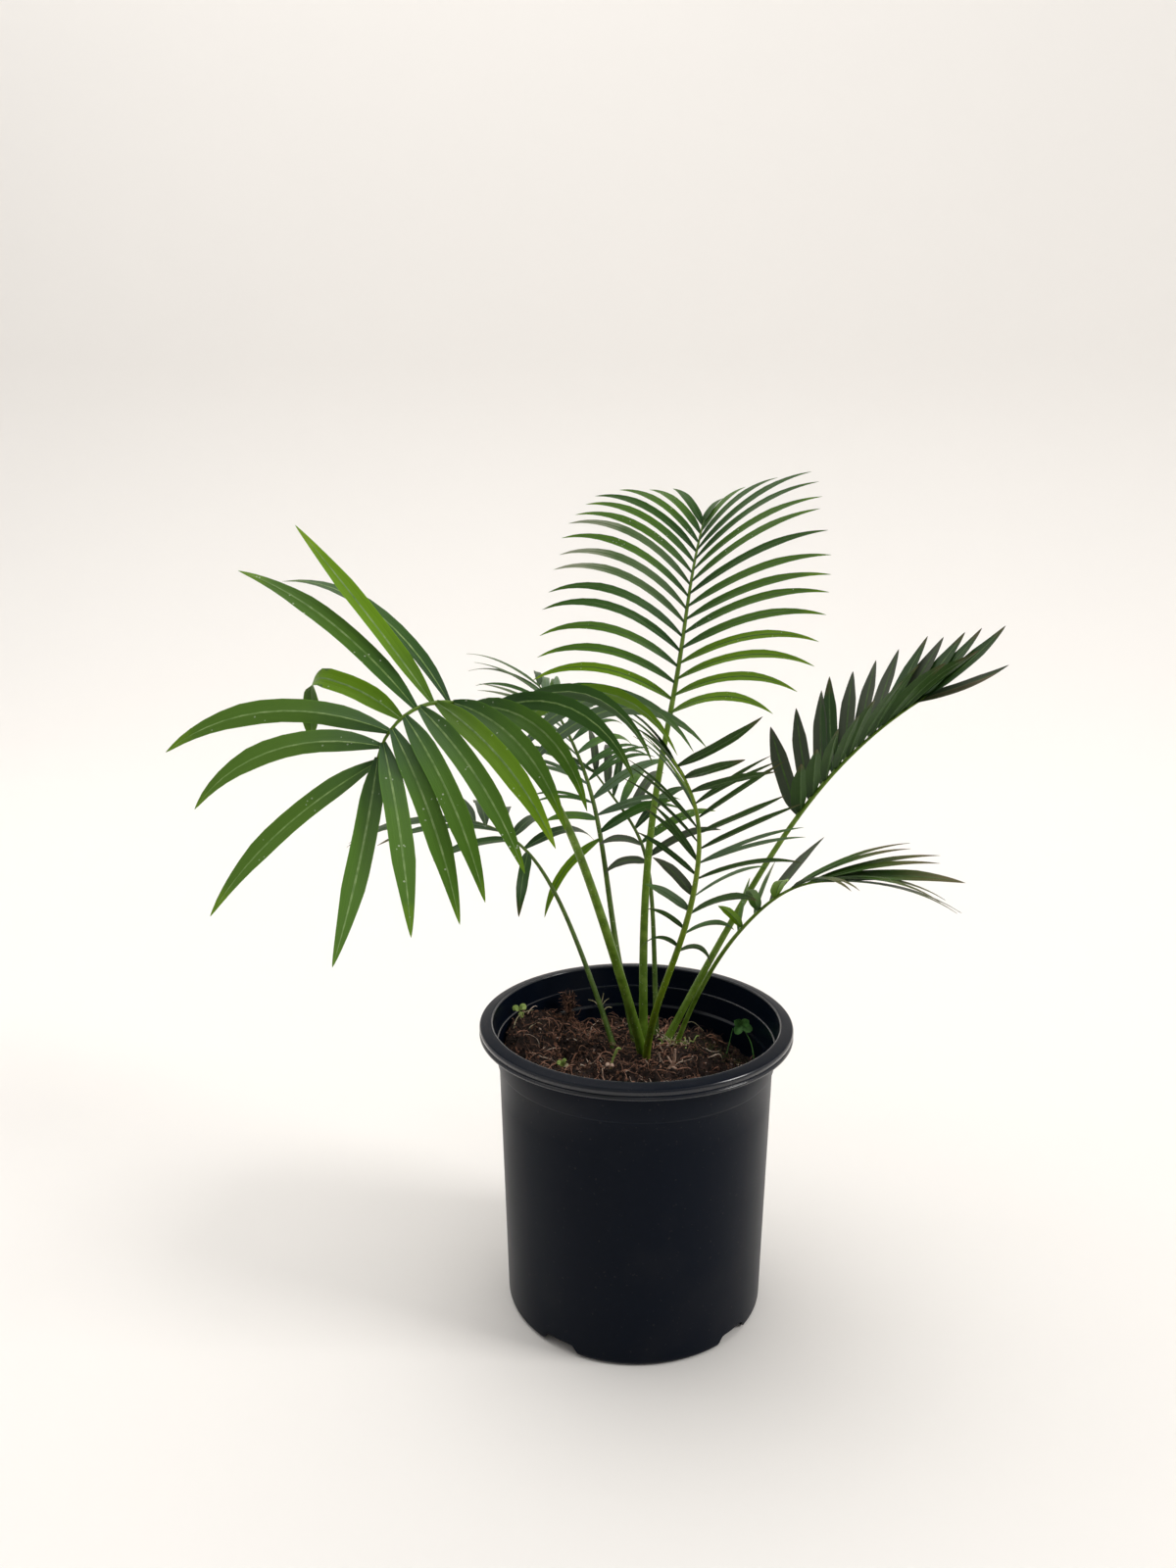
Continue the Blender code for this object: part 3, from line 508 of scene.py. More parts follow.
class Sweep:
    """Geometry Nodes that sweep a section along rails and deal out the materials."""

    ATTRIBUTES = ("half", "thick", "fold", "along", "tone")

    def __init__(self, section: Section, slots: int, sided: bool) -> None:
        """Builds the node tree.

        Args:
            section: the cross-section.
            slots: how many materials the rails choose from.
            sided: whether an underside and a midrib take two more.
        """
        self.guide = section.guide()
        self.slots, self.sided = slots, sided
        g, given = Graph.geometry(f"sweep_{section.name.lower()}", {
            "Section": "Object", **{f"Material {k}": "Material" for k in range(slots + 2 * sided)}})
        self.tree = g.tree
        swept = self.swept(g, given)
        for number, selection in enumerate(self.selections(g)):
            swept = g.dressed(swept, given[f"Material {number}"], selection)
        g.add("NodeGroupOutput", {"Geometry": swept})

    @staticmethod
    def swept(g: Graph, given: bpy_prop_collection) -> NodeSocket:
        """Sweeps the section and lays a map along it.

        Args:
            g: the tree.
            given: the tree's inputs.

        Returns:
            The swept mesh's socket, realized.
        """
        rails = g.out("GeometryNodeMeshToCurve", {"Mesh": given["Geometry"]})
        outline = g.out("GeometryNodeObjectInfo", {"Object": given["Section"]}, output="Geometry")
        ring = g.out("GeometryNodeMeshToCurve", {"Mesh": outline})
        mesh = g.out(
            "GeometryNodeCurveToMesh", {"Curve": rails, "Profile Curve": ring, "Fill Caps": True})
        x = g.read("section_x")
        wide = g.maths("MULTIPLY", x, g.read("half"))
        rise = g.maths("MULTIPLY", g.maths("ABSOLUTE", wide), g.read("fold"))
        high = g.maths("MULTIPLY_ADD", g.read("section_y"), g.read("thick"), rise)
        place = g.read("centre", "FLOAT_VECTOR")
        for direction, length in (("across", wide), ("face", high)):
            place = g.added(place, g.scaled(g.read(direction, "FLOAT_VECTOR"), length))
        mesh = g.out("GeometryNodeSetPosition", {"Geometry": mesh, "Position": place})
        flat = g.out("ShaderNodeCombineXYZ", {
            "X": g.maths("MULTIPLY_ADD", x, 0.5, 0.5), "Y": g.read("along")})
        mesh = g.out("GeometryNodeStoreNamedAttribute", {
            "Geometry": mesh, "Name": "UVMap", "Value": flat}, data_type="FLOAT2", domain="CORNER")
        return g.out("GeometryNodeRealizeInstances", {"Geometry": mesh})

    def selections(self, g: Graph) -> list[NodeSocket]:
        """Works out which faces take each material.

        Args:
            g: the tree.

        Returns:
            One selection for each material.
        """
        tone = g.read("tone")
        found = [g.maths("COMPARE", tone, float(number), 0.25) for number in range(self.slots)]
        if self.sided:
            x, y = g.read("section_x"), g.read("section_y")
            two_sided = g.maths("LESS_THAN", g.maths("FRACT", tone), 0.1)
            found.append(g.maths("MULTIPLY", two_sided, g.maths("LESS_THAN", y, -0.05)))
            middle = g.maths("LESS_THAN", g.maths("ABSOLUTE", x), 0.1)
            ridge = g.maths("GREATER_THAN", g.maths("ABSOLUTE", y), 0.55)
            found.append(g.maths("MULTIPLY", middle, ridge))
        return found

    def make(self, name: str, rails: list[Rail], materials: list[Material],
             sharp: float = 50.0) -> Object:
        """Sweeps the section along rails and makes a plain mesh object.

        Args:
            name: the new object's name.
            rails: the paths.
            materials: one for each input.
            sharp: degrees past which an edge stays sharp.

        Returns:
            The object, at the origin.
        """
        mesh = bpy.data.meshes.new(name)
        stations, edges = [], []
        for rail in rails:
            first = len(stations)
            stations += rail.stations
            edges += [(k, k + 1) for k in range(first, len(stations) - 1)]
        mesh.from_pydata([station.centre for station in stations], edges, [])
        for label in ("centre", "across", "face"):
            store = mesh.attributes.new(label, "FLOAT_VECTOR", "POINT")
            store.data.foreach_set("vector", [c for s in stations for c in getattr(s, label)])
        for label in self.ATTRIBUTES:
            store = mesh.attributes.new(label, "FLOAT", "POINT")
            store.data.foreach_set("value", [float(rail.tone) for rail in rails for _ in rail.stations]
                                   if label == "tone" else [getattr(s, label) for s in stations])
        obj = linked(name, mesh)
        run_nodes(obj, self.tree, {"Section": self.guide, **numbered(materials)})
        settle(obj, sharp)
        return obj


def linked(name: str, data: ID) -> Object:
    """Puts a mesh, light or camera into the scene.

    Args:
        name: the new object's name.
        data: what it holds.

    Returns:
        The object.
    """
    obj = bpy.data.objects.new(name, data)
    bpy.context.scene.collection.objects.link(obj)
    return obj


def shaped(name: str, bm: BMesh) -> Object:
    """Puts a bmesh into the scene as an object, and frees it.

    Args:
        name: the new object's name.
        bm: the bmesh.

    Returns:
        The object.
    """
    mesh = bpy.data.meshes.new(name)
    bm.to_mesh(mesh)
    bm.free()
    return linked(name, mesh)


def numbered(materials: list[Material]) -> dict[str, Material]:
    """Names materials as a node tree's inputs."""
    return {f"Material {number}": material for number, material in enumerate(materials)}


def run_nodes(obj: Object, tree: NodeTree, settings: dict) -> None:
    """Runs a Geometry Nodes tree on an object and keeps its result as a plain mesh.

    Args:
        obj: the object, whose mesh is replaced.
        tree: the node tree.
        settings: a value for each of the tree's named inputs.
    """
    modifier = obj.modifiers.new("nodes", "NODES")
    modifier.node_group = tree
    for item in tree.interface.items_tree:
        if item.item_type == "SOCKET" and item.in_out == "INPUT" and item.name in settings:
            modifier[item.identifier] = settings[item.name]
    bpy.context.view_layer.update()
    graph = bpy.context.evaluated_depsgraph_get()
    result = bpy.data.meshes.new_from_object(obj.evaluated_get(graph), depsgraph=graph)
    obj.modifiers.remove(modifier)
    old = obj.data
    obj.data = result
    bpy.data.meshes.remove(old)
    result.name = obj.name


def settle(obj: Object, sharp: float) -> None:
    """Points a closed mesh's faces outwards, drops helper attributes and shades it smooth.

    Args:
        obj: the object.
        sharp: degrees past which an edge stays sharp.
    """
    bm = bmesh.new()
    bm.from_mesh(obj.data)
    bmesh.ops.recalc_face_normals(bm, faces=bm.faces)
    bm.to_mesh(obj.data)
    bm.free()
    attributes = obj.data.attributes
    for name in ("centre", "across", "face", "section_x", "section_y", "deal", *Sweep.ATTRIBUTES):
        if name in attributes:
            attributes.remove(attributes[name])
    obj.data.shade_smooth()
    obj.data.set_sharp_from_angle(angle=radians(sharp))


def present(obj: Object, node: str, slot: str) -> Object:
    """Attaches a finished piece to the body, hides the CAD node that it stands for and logs it.

    Args:
        obj: the piece.
        node: the CAD node that it stands for, or nothing.
        slot: not used.

    Returns:
        The piece.
    """
    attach(obj, BODY)
    if node:
        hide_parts(node)
    faces = sum(len(p.vertices) - 2 for p in obj.data.polygons)
    LOG.info("%s: %d triangles, stands for %s", obj.name, faces, node or "no node")
    return obj


def run(values: Run, share: float) -> float:
    """Reads an even run of values.

    Args:
        values: the values.
        share: the place in the run, from 0 to 1.

    Returns:
        The value there.
    """
    place = share * (len(values) - 1)
    k = min(int(place), len(values) - 2)
    return values[k] + (values[k + 1] - values[k]) * (place - k)


def through(knots: Run, values: Run, place: float) -> float:
    """Reads a smooth curve through values at uneven knots.

    Args:
        knots: where the values stand.
        values: the values.
        place: where to read.

    Returns:
        The curve's value there.
    """
    widths = [high - low for low, high in zip(knots, knots[1:])]
    rises = [(high - low) / width for low, high, width in zip(values, values[1:], widths)]
    slopes = [rises[0]]
    for k in range(1, len(widths)):
        slopes.append((widths[k] * rises[k - 1] + widths[k - 1] * rises[k]) / (widths[k - 1] + widths[k]))
    slopes.append(rises[-1])
    k = 0
    while k < len(knots) - 2 and place > knots[k + 1]:
        k += 1
    width = widths[k]
    u = (place - knots[k]) / width
    return ((2 * u ** 3 - 3 * u ** 2 + 1) * values[k] + (u ** 3 - 2 * u ** 2 + u) * width * slopes[k]
            + (3 * u ** 2 - 2 * u ** 3) * values[k + 1] + (u ** 3 - u ** 2) * width * slopes[k + 1])


def smooth_at(points: list[Vector], place: float) -> Vector:
    """Reads a smooth curve through evenly numbered points.

    Args:
        points: the points.
        place: the place among them, as a fraction of a point's number.

    Returns:
        The point there.
    """
    k = min(int(place), len(points) - 2)
    u = place - k
    first = points[k - 1] if k else points[0] * 2.0 - points[1]
    last = points[k + 2] if k + 2 < len(points) else points[-1] * 2.0 - points[-2]
    a, b = points[k], points[k + 1]
    return 0.5 * (2.0 * a + (b - first) * u + (2.0 * first - 5.0 * a + 4.0 * b - last) * u * u
                  + (3.0 * (a - b) + last - first) * u ** 3)


@dataclass(frozen=True)
class LeafletRule:
    """How every leaflet is shaped and how far it strays, as the solids have it."""

    bend_steps: int = 12
    droop_root: float = 0.35  # share of the mean bend at the root
    droop_gain: float = 1.6  # how soon a nearly upright leaflet stops bending
    still: float = 1e-6  # a leaflet this close to upright doesn't bend
    curl_from: float = 0.56  # where a curled leaflet starts to fold
    curl_to: float = 0.78  # and at which it hangs straight again
    curl_turn: float = 110.0  # degrees that it bends down there
    curl_twist: float = 80.0  # degrees that the shown blade turns there
    curl_point: float = 0.13  # share of a curled leaflet that tapers
    curl_round: float = 0.6  # below 1 its end is blunt
    curl_stations: Run = (0.54, 0.6, 0.62, 0.64, 0.68, 0.7, 0.72, 0.76, 0.78)
    crowd: float = 0.3  # how much closer leaflets sit at the tip than at the base
    side_offset: float = 0.12  # how far the two leaflets of a pair sit apart, in pairs
    sweep: float = 6.0  # degrees that a leaflet curves towards the frond's tip
    clearance: float = 0.0005  # that a leaflet keeps from another frond
    turns: Run = (0.0, 7.0, -7.0, 14.0, -14.0, 21.0, -21.0)
    # how far a leaflet strays in place, spread, keel, length, droop and twist, for a jitter of 1
    strays: Run = (0.006, 3.0, 4.0, 0.04, 0.2, 8.0)
    blade_root: float = 0.26  # width at the root over full width
    blade_full: float = 0.26  # share of the length where it is widest
    blade_point: float = 0.36  # share of the length that tapers to the point
    point_curve: float = 0.75  # below 1 the point's edges bulge
    solid_stations: Run = (0.0, 0.16, 0.4, 0.63, 0.84)
    solid_thickness: float = 0.0012
    thinning: float = 0.35
    stations: Run = (
        0.0, 0.02, 0.055, 0.1, 0.16, 0.23, 0.31, 0.4, 0.49, 0.58, 0.66, 0.74, 0.81, 0.87, 0.92, 0.96,
        0.985, 1.0)
    thickness: float = 0.0003  # of the blade that shows
    fold_root: float = 0.34  # how far the blade is folded to a V at its root
    fold_tip: float = 0.1
    fold_stray: tuple[float, float] = (0.7, 1.3)  # a leaflet's own fold over that
    ripple: float = 0.05  # radians that a blade may rock about its midrib
    ripple_rate: float = 7.0  # radians of the rocking's wave over its length
    thin_tip: float = 0.55  # share of the thickness that is gone at the tip
    point_half: float = 0.00005  # half the width of the very point
    point_thick: float = 0.00003

    def width(self, share: float) -> float:
        """Gives the blade's outline.

        Args:
            share: the place along the leaflet, from 0 to 1.

        Returns:
            The width there over the full width.
        """
        rise = sin(min(share / self.blade_full, 1.0) * pi / 2)
        root = self.blade_root + (1.0 - self.blade_root) * rise
        return root * min((1.0 - share) / self.blade_point, 1.0) ** self.point_curve


RULE = LeafletRule()


@dataclass
class Leaflet:
    """One leaflet's midrib and the direction of its width, root first."""

    points: list[Vector]
    across: list[Vector]
    width: float
    key: tuple[int, int]  # side and number
    curled: bool = False
    slim: float = 1.0  # width of the blade that shows over the leaflet's

    def fanned(self, angle: float, slim: float) -> "Leaflet":
        """Turns a slimmer copy about its root, in its own plane.

        Args:
            angle: how far, in radians.
            slim: the copy's width over this one's.

        Returns:
            The copy.
        """
        root = self.points[0]
        course = (self.points[1] - root).normalized()
        turn = Quaternion(course.cross(self.across[0]).normalized(), angle)
        return replace(self, points=[root + turn @ (point - root) for point in self.points],
                       across=[turn @ across for across in self.across], slim=self.slim * slim)

    def solid(self, margin: float) -> BMesh:
        """Makes the plain three-sided blade that tests for room.

        Args:
            margin: how much fatter than the leaflet it is.

        Returns:
            The blade.
        """
        bm = bmesh.new()
        rings: list[tuple[list, Vector]] = []
        for share in RULE.solid_stations:
            place = share * RULE.bend_steps
            k = min(int(place), RULE.bend_steps - 1)
            point = self.points[k].lerp(self.points[k + 1], place - k)
            course = (self.points[k + 1] - self.points[k]).normalized()
            across = self.across[k].lerp(self.across[k + 1], place - k)
            across = (across - course * across.dot(course)).normalized()
            face = course.cross(across)
            if face.dot(rings[-1][1] if rings else UP) < 0.0:
                face = -face
            half = self.width / 2 * RULE.width(share) + margin
            top = RULE.solid_thickness * (1.0 - RULE.thinning * share) + margin
            corners = [point - across * half - face * margin, point + across * half - face * margin,
                       point + face * top]
            rings.append(([bm.verts.new(corner) for corner in corners], face))
        tip = bm.verts.new(self.points[-1])
        bm.faces.new(rings[0][0])
        for k in range(3):
            n = (k + 1) % 3
            for (low, _), (high, _) in zip(rings, rings[1:]):
                bm.faces.new((low[k], low[n], high[n], high[k]))
            bm.faces.new((rings[-1][0][k], rings[-1][0][n], tip))
        bmesh.ops.triangulate(bm, faces=bm.faces)
        return bm

    def rail(self, tone: float, dice: Random) -> Rail:
        """Prepares the fine blade.

        Args:
            tone: which of the frond's looks it takes.
            dice: draws its small differences.

        Returns:
            The path of its section.
        """
        rail = Rail(tone)
        fold = dice.uniform(*RULE.fold_stray)
        wave, phase = dice.uniform(0.0, RULE.ripple), dice.uniform(0.0, TURN)
        last = UP
        step = 0.02
        for share in sorted(RULE.stations + (RULE.curl_stations if self.curled else ())):
            place = share * RULE.bend_steps
            course = (smooth_at(self.points, min(place + step, RULE.bend_steps))
                      - smooth_at(self.points, max(place - step, 0.0))).normalized()
            k = min(int(place), RULE.bend_steps - 1)
            across = self.across[k].lerp(self.across[k + 1], place - k)
            across = (across - course * across.dot(course)).normalized()
            last = course.cross(across) * (-1.0 if course.cross(across).dot(last) < 0.0 else 1.0)
            turn = wave * sin(RULE.ripple_rate * share + phase)
            outline = RULE.width(share)
            if self.curled:
                folded = (share - RULE.curl_from) / (RULE.curl_to - RULE.curl_from)
                turn += radians(RULE.curl_twist) * min(max(folded, 0.0), 1.0)
                outline = min(1.0, (1.0 - share) / RULE.curl_point) ** RULE.curl_round * RULE.width(
                    min(share, 1.0 - RULE.blade_point))
            turned = Quaternion(course, turn)
            rail.add(
                smooth_at(self.points, place), turned @ across, turned @ last,
                max(self.slim * self.width / 2 * outline, RULE.point_half),
                RULE.thickness * (1.0 - RULE.thin_tip * share) if share < 1.0 else RULE.point_thick,
                fold * (RULE.fold_root + (RULE.fold_tip - RULE.fold_root) * share), share)
        return rail


def listed(names: str) -> list[tuple[int, int]]:
    """Reads a list of leaflets, such as "L0-2 R7".

    Args:
        names: each one's side, L or R, and number, or the first and last number of a run.

    Returns:
        The side, -1 for the left and 1 for the right, and the number of each.
    """
    found = []
    for name in names.split():
        first, _, last = name[1:].partition("-")
        found += [(1 if name[0] == "R" else -1, n) for n in range(int(first), int(last or first) + 1)]
    return found


@dataclass(frozen=True)
class Frond:
    """A pinnate leaf. Runs of values go evenly from the first leaflets to the tip, in degrees."""

    name: str
    foot: tuple[float, float]  # where the stalk leaves the soil
    radius: float  # of the stalk
    stalk: float  # length from the soil to the first leaflets
    blade: float  # length of the rib with leaflets
    lean: Run  # off vertical at the foot, first leaflets, mid blade and tip
    heading: Run  # 0 along +X, 90 along +Y, at the same four places
    roll: Run  # of the blade about its rib
    pairs: int
    reach: float  # length of a leaflet whose share is 1
    width: float  # of a leaflet
    share: tuple  # length over reach, left side then right side
    spread: tuple  # angle between a leaflet and the rib
    keel: tuple  # that it rises from the blade's plane
    droop: tuple  # that it bends down over its length
    jitter: float  # how uneven the leaflets are
    seed: int
    twist: tuple = ((0.0, 0.0), (0.0, 0.0))  # that it is turned about its midrib
    strays: tuple = ()  # (leaflet, spread, keel, droop, share) of odd ones
    missing: str = ""  # leaflets that aren't there
    curled: str = ""  # leaflets whose end folds down
    stalk_look: GrainFinish = STALK_GREEN
    under_look: LeafFinish = UNDER_DARK
    midrib_look: GrainFinish = MIDRIB_DULL
    tones: tuple[Tone, ...] = (Tone.GREEN,)  # drawn from evenly
    picked: tuple = ()  # (tone, leaflets) of those with a look of their own
    slender: float = 1.0  # width of the blades that show over the solid's
    tousle: float = 0.0  # radians that they may turn in their own plane
    slim: tuple = ()  # (factor, leaflets) of blades that are slimmer still
    split: str = ""  # leaflets that show as two narrow blades
    plain: str = ""  # leaflets with the same look on both sides

    BED: ClassVar[float] = 0.133  # height of the soil at the stalks
    GAP: ClassVar[float] = 0.0003
    SPINE_STEPS: ClassVar[int] = 80
    TIP_RADIUS: ClassVar[float] = 0.00055
    FOOT_SWELL: ClassVar[float] = 1.22
    SWELL_FADE: ClassVar[float] = 30.0
    TAPER: ClassVar[float] = 1.6
    ROOTED: ClassVar[float] = 0.004  # how deep the shown stalk starts
    END_RADIUS: ClassVar[float] = 0.00008  # of its very tip

    def spine(self) -> list[tuple[Vector, Vector, Vector]]:
        """Follows the stalk and rib.

        Returns:
            Evenly spaced (point, direction, upper side) from the soil to the tip.
        """
        total = self.stalk + self.blade
        knots = (0.0, self.stalk / total, (self.stalk + self.blade / 2) / total, 1.0)
        point = Vector((self.foot[0], self.foot[1], self.BED + self.GAP))
        stations: list[tuple[Vector, Vector, Vector]] = []
        for step in range(self.SPINE_STEPS + 1):
            place = step / self.SPINE_STEPS
            lean = radians(through(knots, self.lean, place))
            heading = radians(through(knots, self.heading, place))
            outwards = Vector((cos(heading), sin(heading), 0.0))
            along = outwards * sin(lean) + UP * cos(lean)
            above = UP * sin(lean) - outwards * cos(lean)
            if stations:
                point = point + (stations[-1][1] + along) * (0.5 * total / self.SPINE_STEPS)
            stations.append((point.copy(), along, above))
        return stations

    @staticmethod
    def at(stations: list, share: float) -> tuple[Vector, Vector, Vector]:
        """Reads a spine.

        Args:
            stations: the spine.
            share: the place along it, from 0 to 1.

        Returns:
            The point, direction and upper side there.
        """
        place = min(max(share, 0.0), 1.0) * (len(stations) - 1)
        k = min(int(place), len(stations) - 2)
        point, along, above = (a.lerp(b, place - k) for a, b in zip(stations[k], stations[k + 1]))
        along = along.normalized()
        above = (above - along * above.dot(along)).normalized()
        return point, along, above

    def thickness(self, share: float) -> float:
        """Gives the stalk's and rib's radius."""
        swell = 1.0 + (self.FOOT_SWELL - 1.0) * exp(-share * self.SWELL_FADE)
        return self.radius * swell + (self.TIP_RADIUS - self.radius) * share ** self.TAPER

    def tube(self, stations: list) -> BMesh:
        """Makes the plain tube that tests leaflets for room.

        Args:
            stations: the spine.

        Returns:
            An open tube.
        """
        bm = bmesh.new()
        rings = []
        for step in range(0, self.SPINE_STEPS + 1, 4):
            point, along, above = stations[step]
            aside = along.cross(above)
            radius = self.thickness(step / self.SPINE_STEPS)
            rings.append([bm.verts.new(point + (aside * x + above * y) * radius) for x, y in circle(6)])
        for low, high in zip(rings, rings[1:]):
            for k in range(6):
                n = (k + 1) % 6
                bm.faces.new((low[n], low[k], high[k], high[n]))
        bmesh.ops.triangulate(bm, faces=bm.faces)
        return bm

    def leaflet(self, stations: list, key: tuple[int, int], draws: list[float], turn: float) -> Leaflet:
        """Grows one leaflet by the frond's runs of values.

        Args:
            stations: the spine.
            key: its side, -1 for the left or 1 for the right, and its place in the row.
            draws: six random numbers.
            turn: degrees that it is lifted to clear a neighbour.

        Returns:
            The leaflet.
        """
        side, number = key
        place = (number + 0.5 + RULE.side_offset * side) / self.pairs
        place = place * (1.0 + RULE.crowd) - RULE.crowd * place * place
        draws = [most * draw for most, draw in zip(RULE.strays, draws)]
        along_blade = place + draws[0]
        total = self.stalk + self.blade
        root, rib, above = self.at(stations, (self.stalk + self.blade * along_blade) / total)
        above = Quaternion(rib, radians(run(self.roll, place))) @ above
        outwards = rib.cross(above) * side
        hand = 0 if side < 0 else 1
        spread, keel, droop, share = (
            run(values[hand], place) for values in (self.spread, self.keel, self.droop, self.share))
        for name, *own in self.strays:
            if key in listed(name):
                spread, keel, droop, share = own
        spread = radians(spread + draws[1])
        keel = radians(keel + draws[2] + turn)
        course = (rib * cos(spread) + (outwards * cos(keel) + above * sin(keel)) * sin(spread))
        length = self.reach * share * (1.0 + draws[3])
        droop = radians(droop * (1.0 + draws[4]))
        across = (rib - course * rib.dot(course)).normalized()
        twist = radians(run(self.twist[hand], place) + draws[5])
        across = Quaternion(course, twist * side) @ across
        curled = key in listed(self.curled)
        points, widths = self.bend(root, course, across, rib, length, droop, curled)
        return Leaflet(points, widths, self.width, key, curled)

    @staticmethod
    def bend(root: Vector, course: Vector, across: Vector, rib: Vector, length: float,
             droop: float, curled: bool) -> tuple[list[Vector], list[Vector]]:
        """Grows a midrib that droops more and more and sweeps towards the frond's tip.

        Args:
            root: where it starts.
            course: its first direction.
            across: the direction of its width.
            rib: the rib's direction there.
            length: its length.
            droop: how far it bends down.
            curled: whether its end folds down.

        Returns:
            Its points and the direction of its width at each.
        """
        points, widths = [root], [across]
        fold = radians(RULE.curl_turn) / (RULE.bend_steps * (RULE.curl_to - RULE.curl_from))
        for step in range(RULE.bend_steps):
            share = (step + 0.5) / RULE.bend_steps
            down = -UP + course * course.z
            if down.length > RULE.still:
                pull = droop / RULE.bend_steps * (
                    RULE.droop_root + 2.0 * (1.0 - RULE.droop_root) * share)
                pull *= min(1.0, down.length * RULE.droop_gain)
                if curled and RULE.curl_from < share < RULE.curl_to:
                    pull += fold
                turn = Quaternion(course.cross(down.normalized()), pull)
                course, across = turn @ course, turn @ across
            face = course.cross(across).normalized()
            turn = Quaternion(face, radians(RULE.sweep) / RULE.bend_steps * (
                1.0 if face.cross(course).dot(rib) > 0 else -1.0))
            course, across = turn @ course, turn @ across
            root = root + course * (length / RULE.bend_steps)
            points.append(root)
            widths.append((across - course * across.dot(course)).normalized())
        return points, widths

    def stalk_rail(self, stations: list) -> Rail:
        """Prepares the fine stalk and rib.

        Args:
            stations: the spine.

        Returns:
            The path of its section.
        """
        rail = Rail()
        first, along, above = stations[0]
        frames = [(first - along * self.ROOTED, along, above)] + stations
        end, along, above = stations[-1]
        frames.append((end + along * (2.0 * self.TIP_RADIUS), along, above))
        for number, (point, along, above) in enumerate(frames):
            share = min(max((number - 1) / self.SPINE_STEPS, 0.0), 1.0)
            radius = self.thickness(share) if number < len(frames) - 1 else self.END_RADIUS
            rail.add(point, along.cross(above), above, radius, radius, 0.0, share)
        return rail


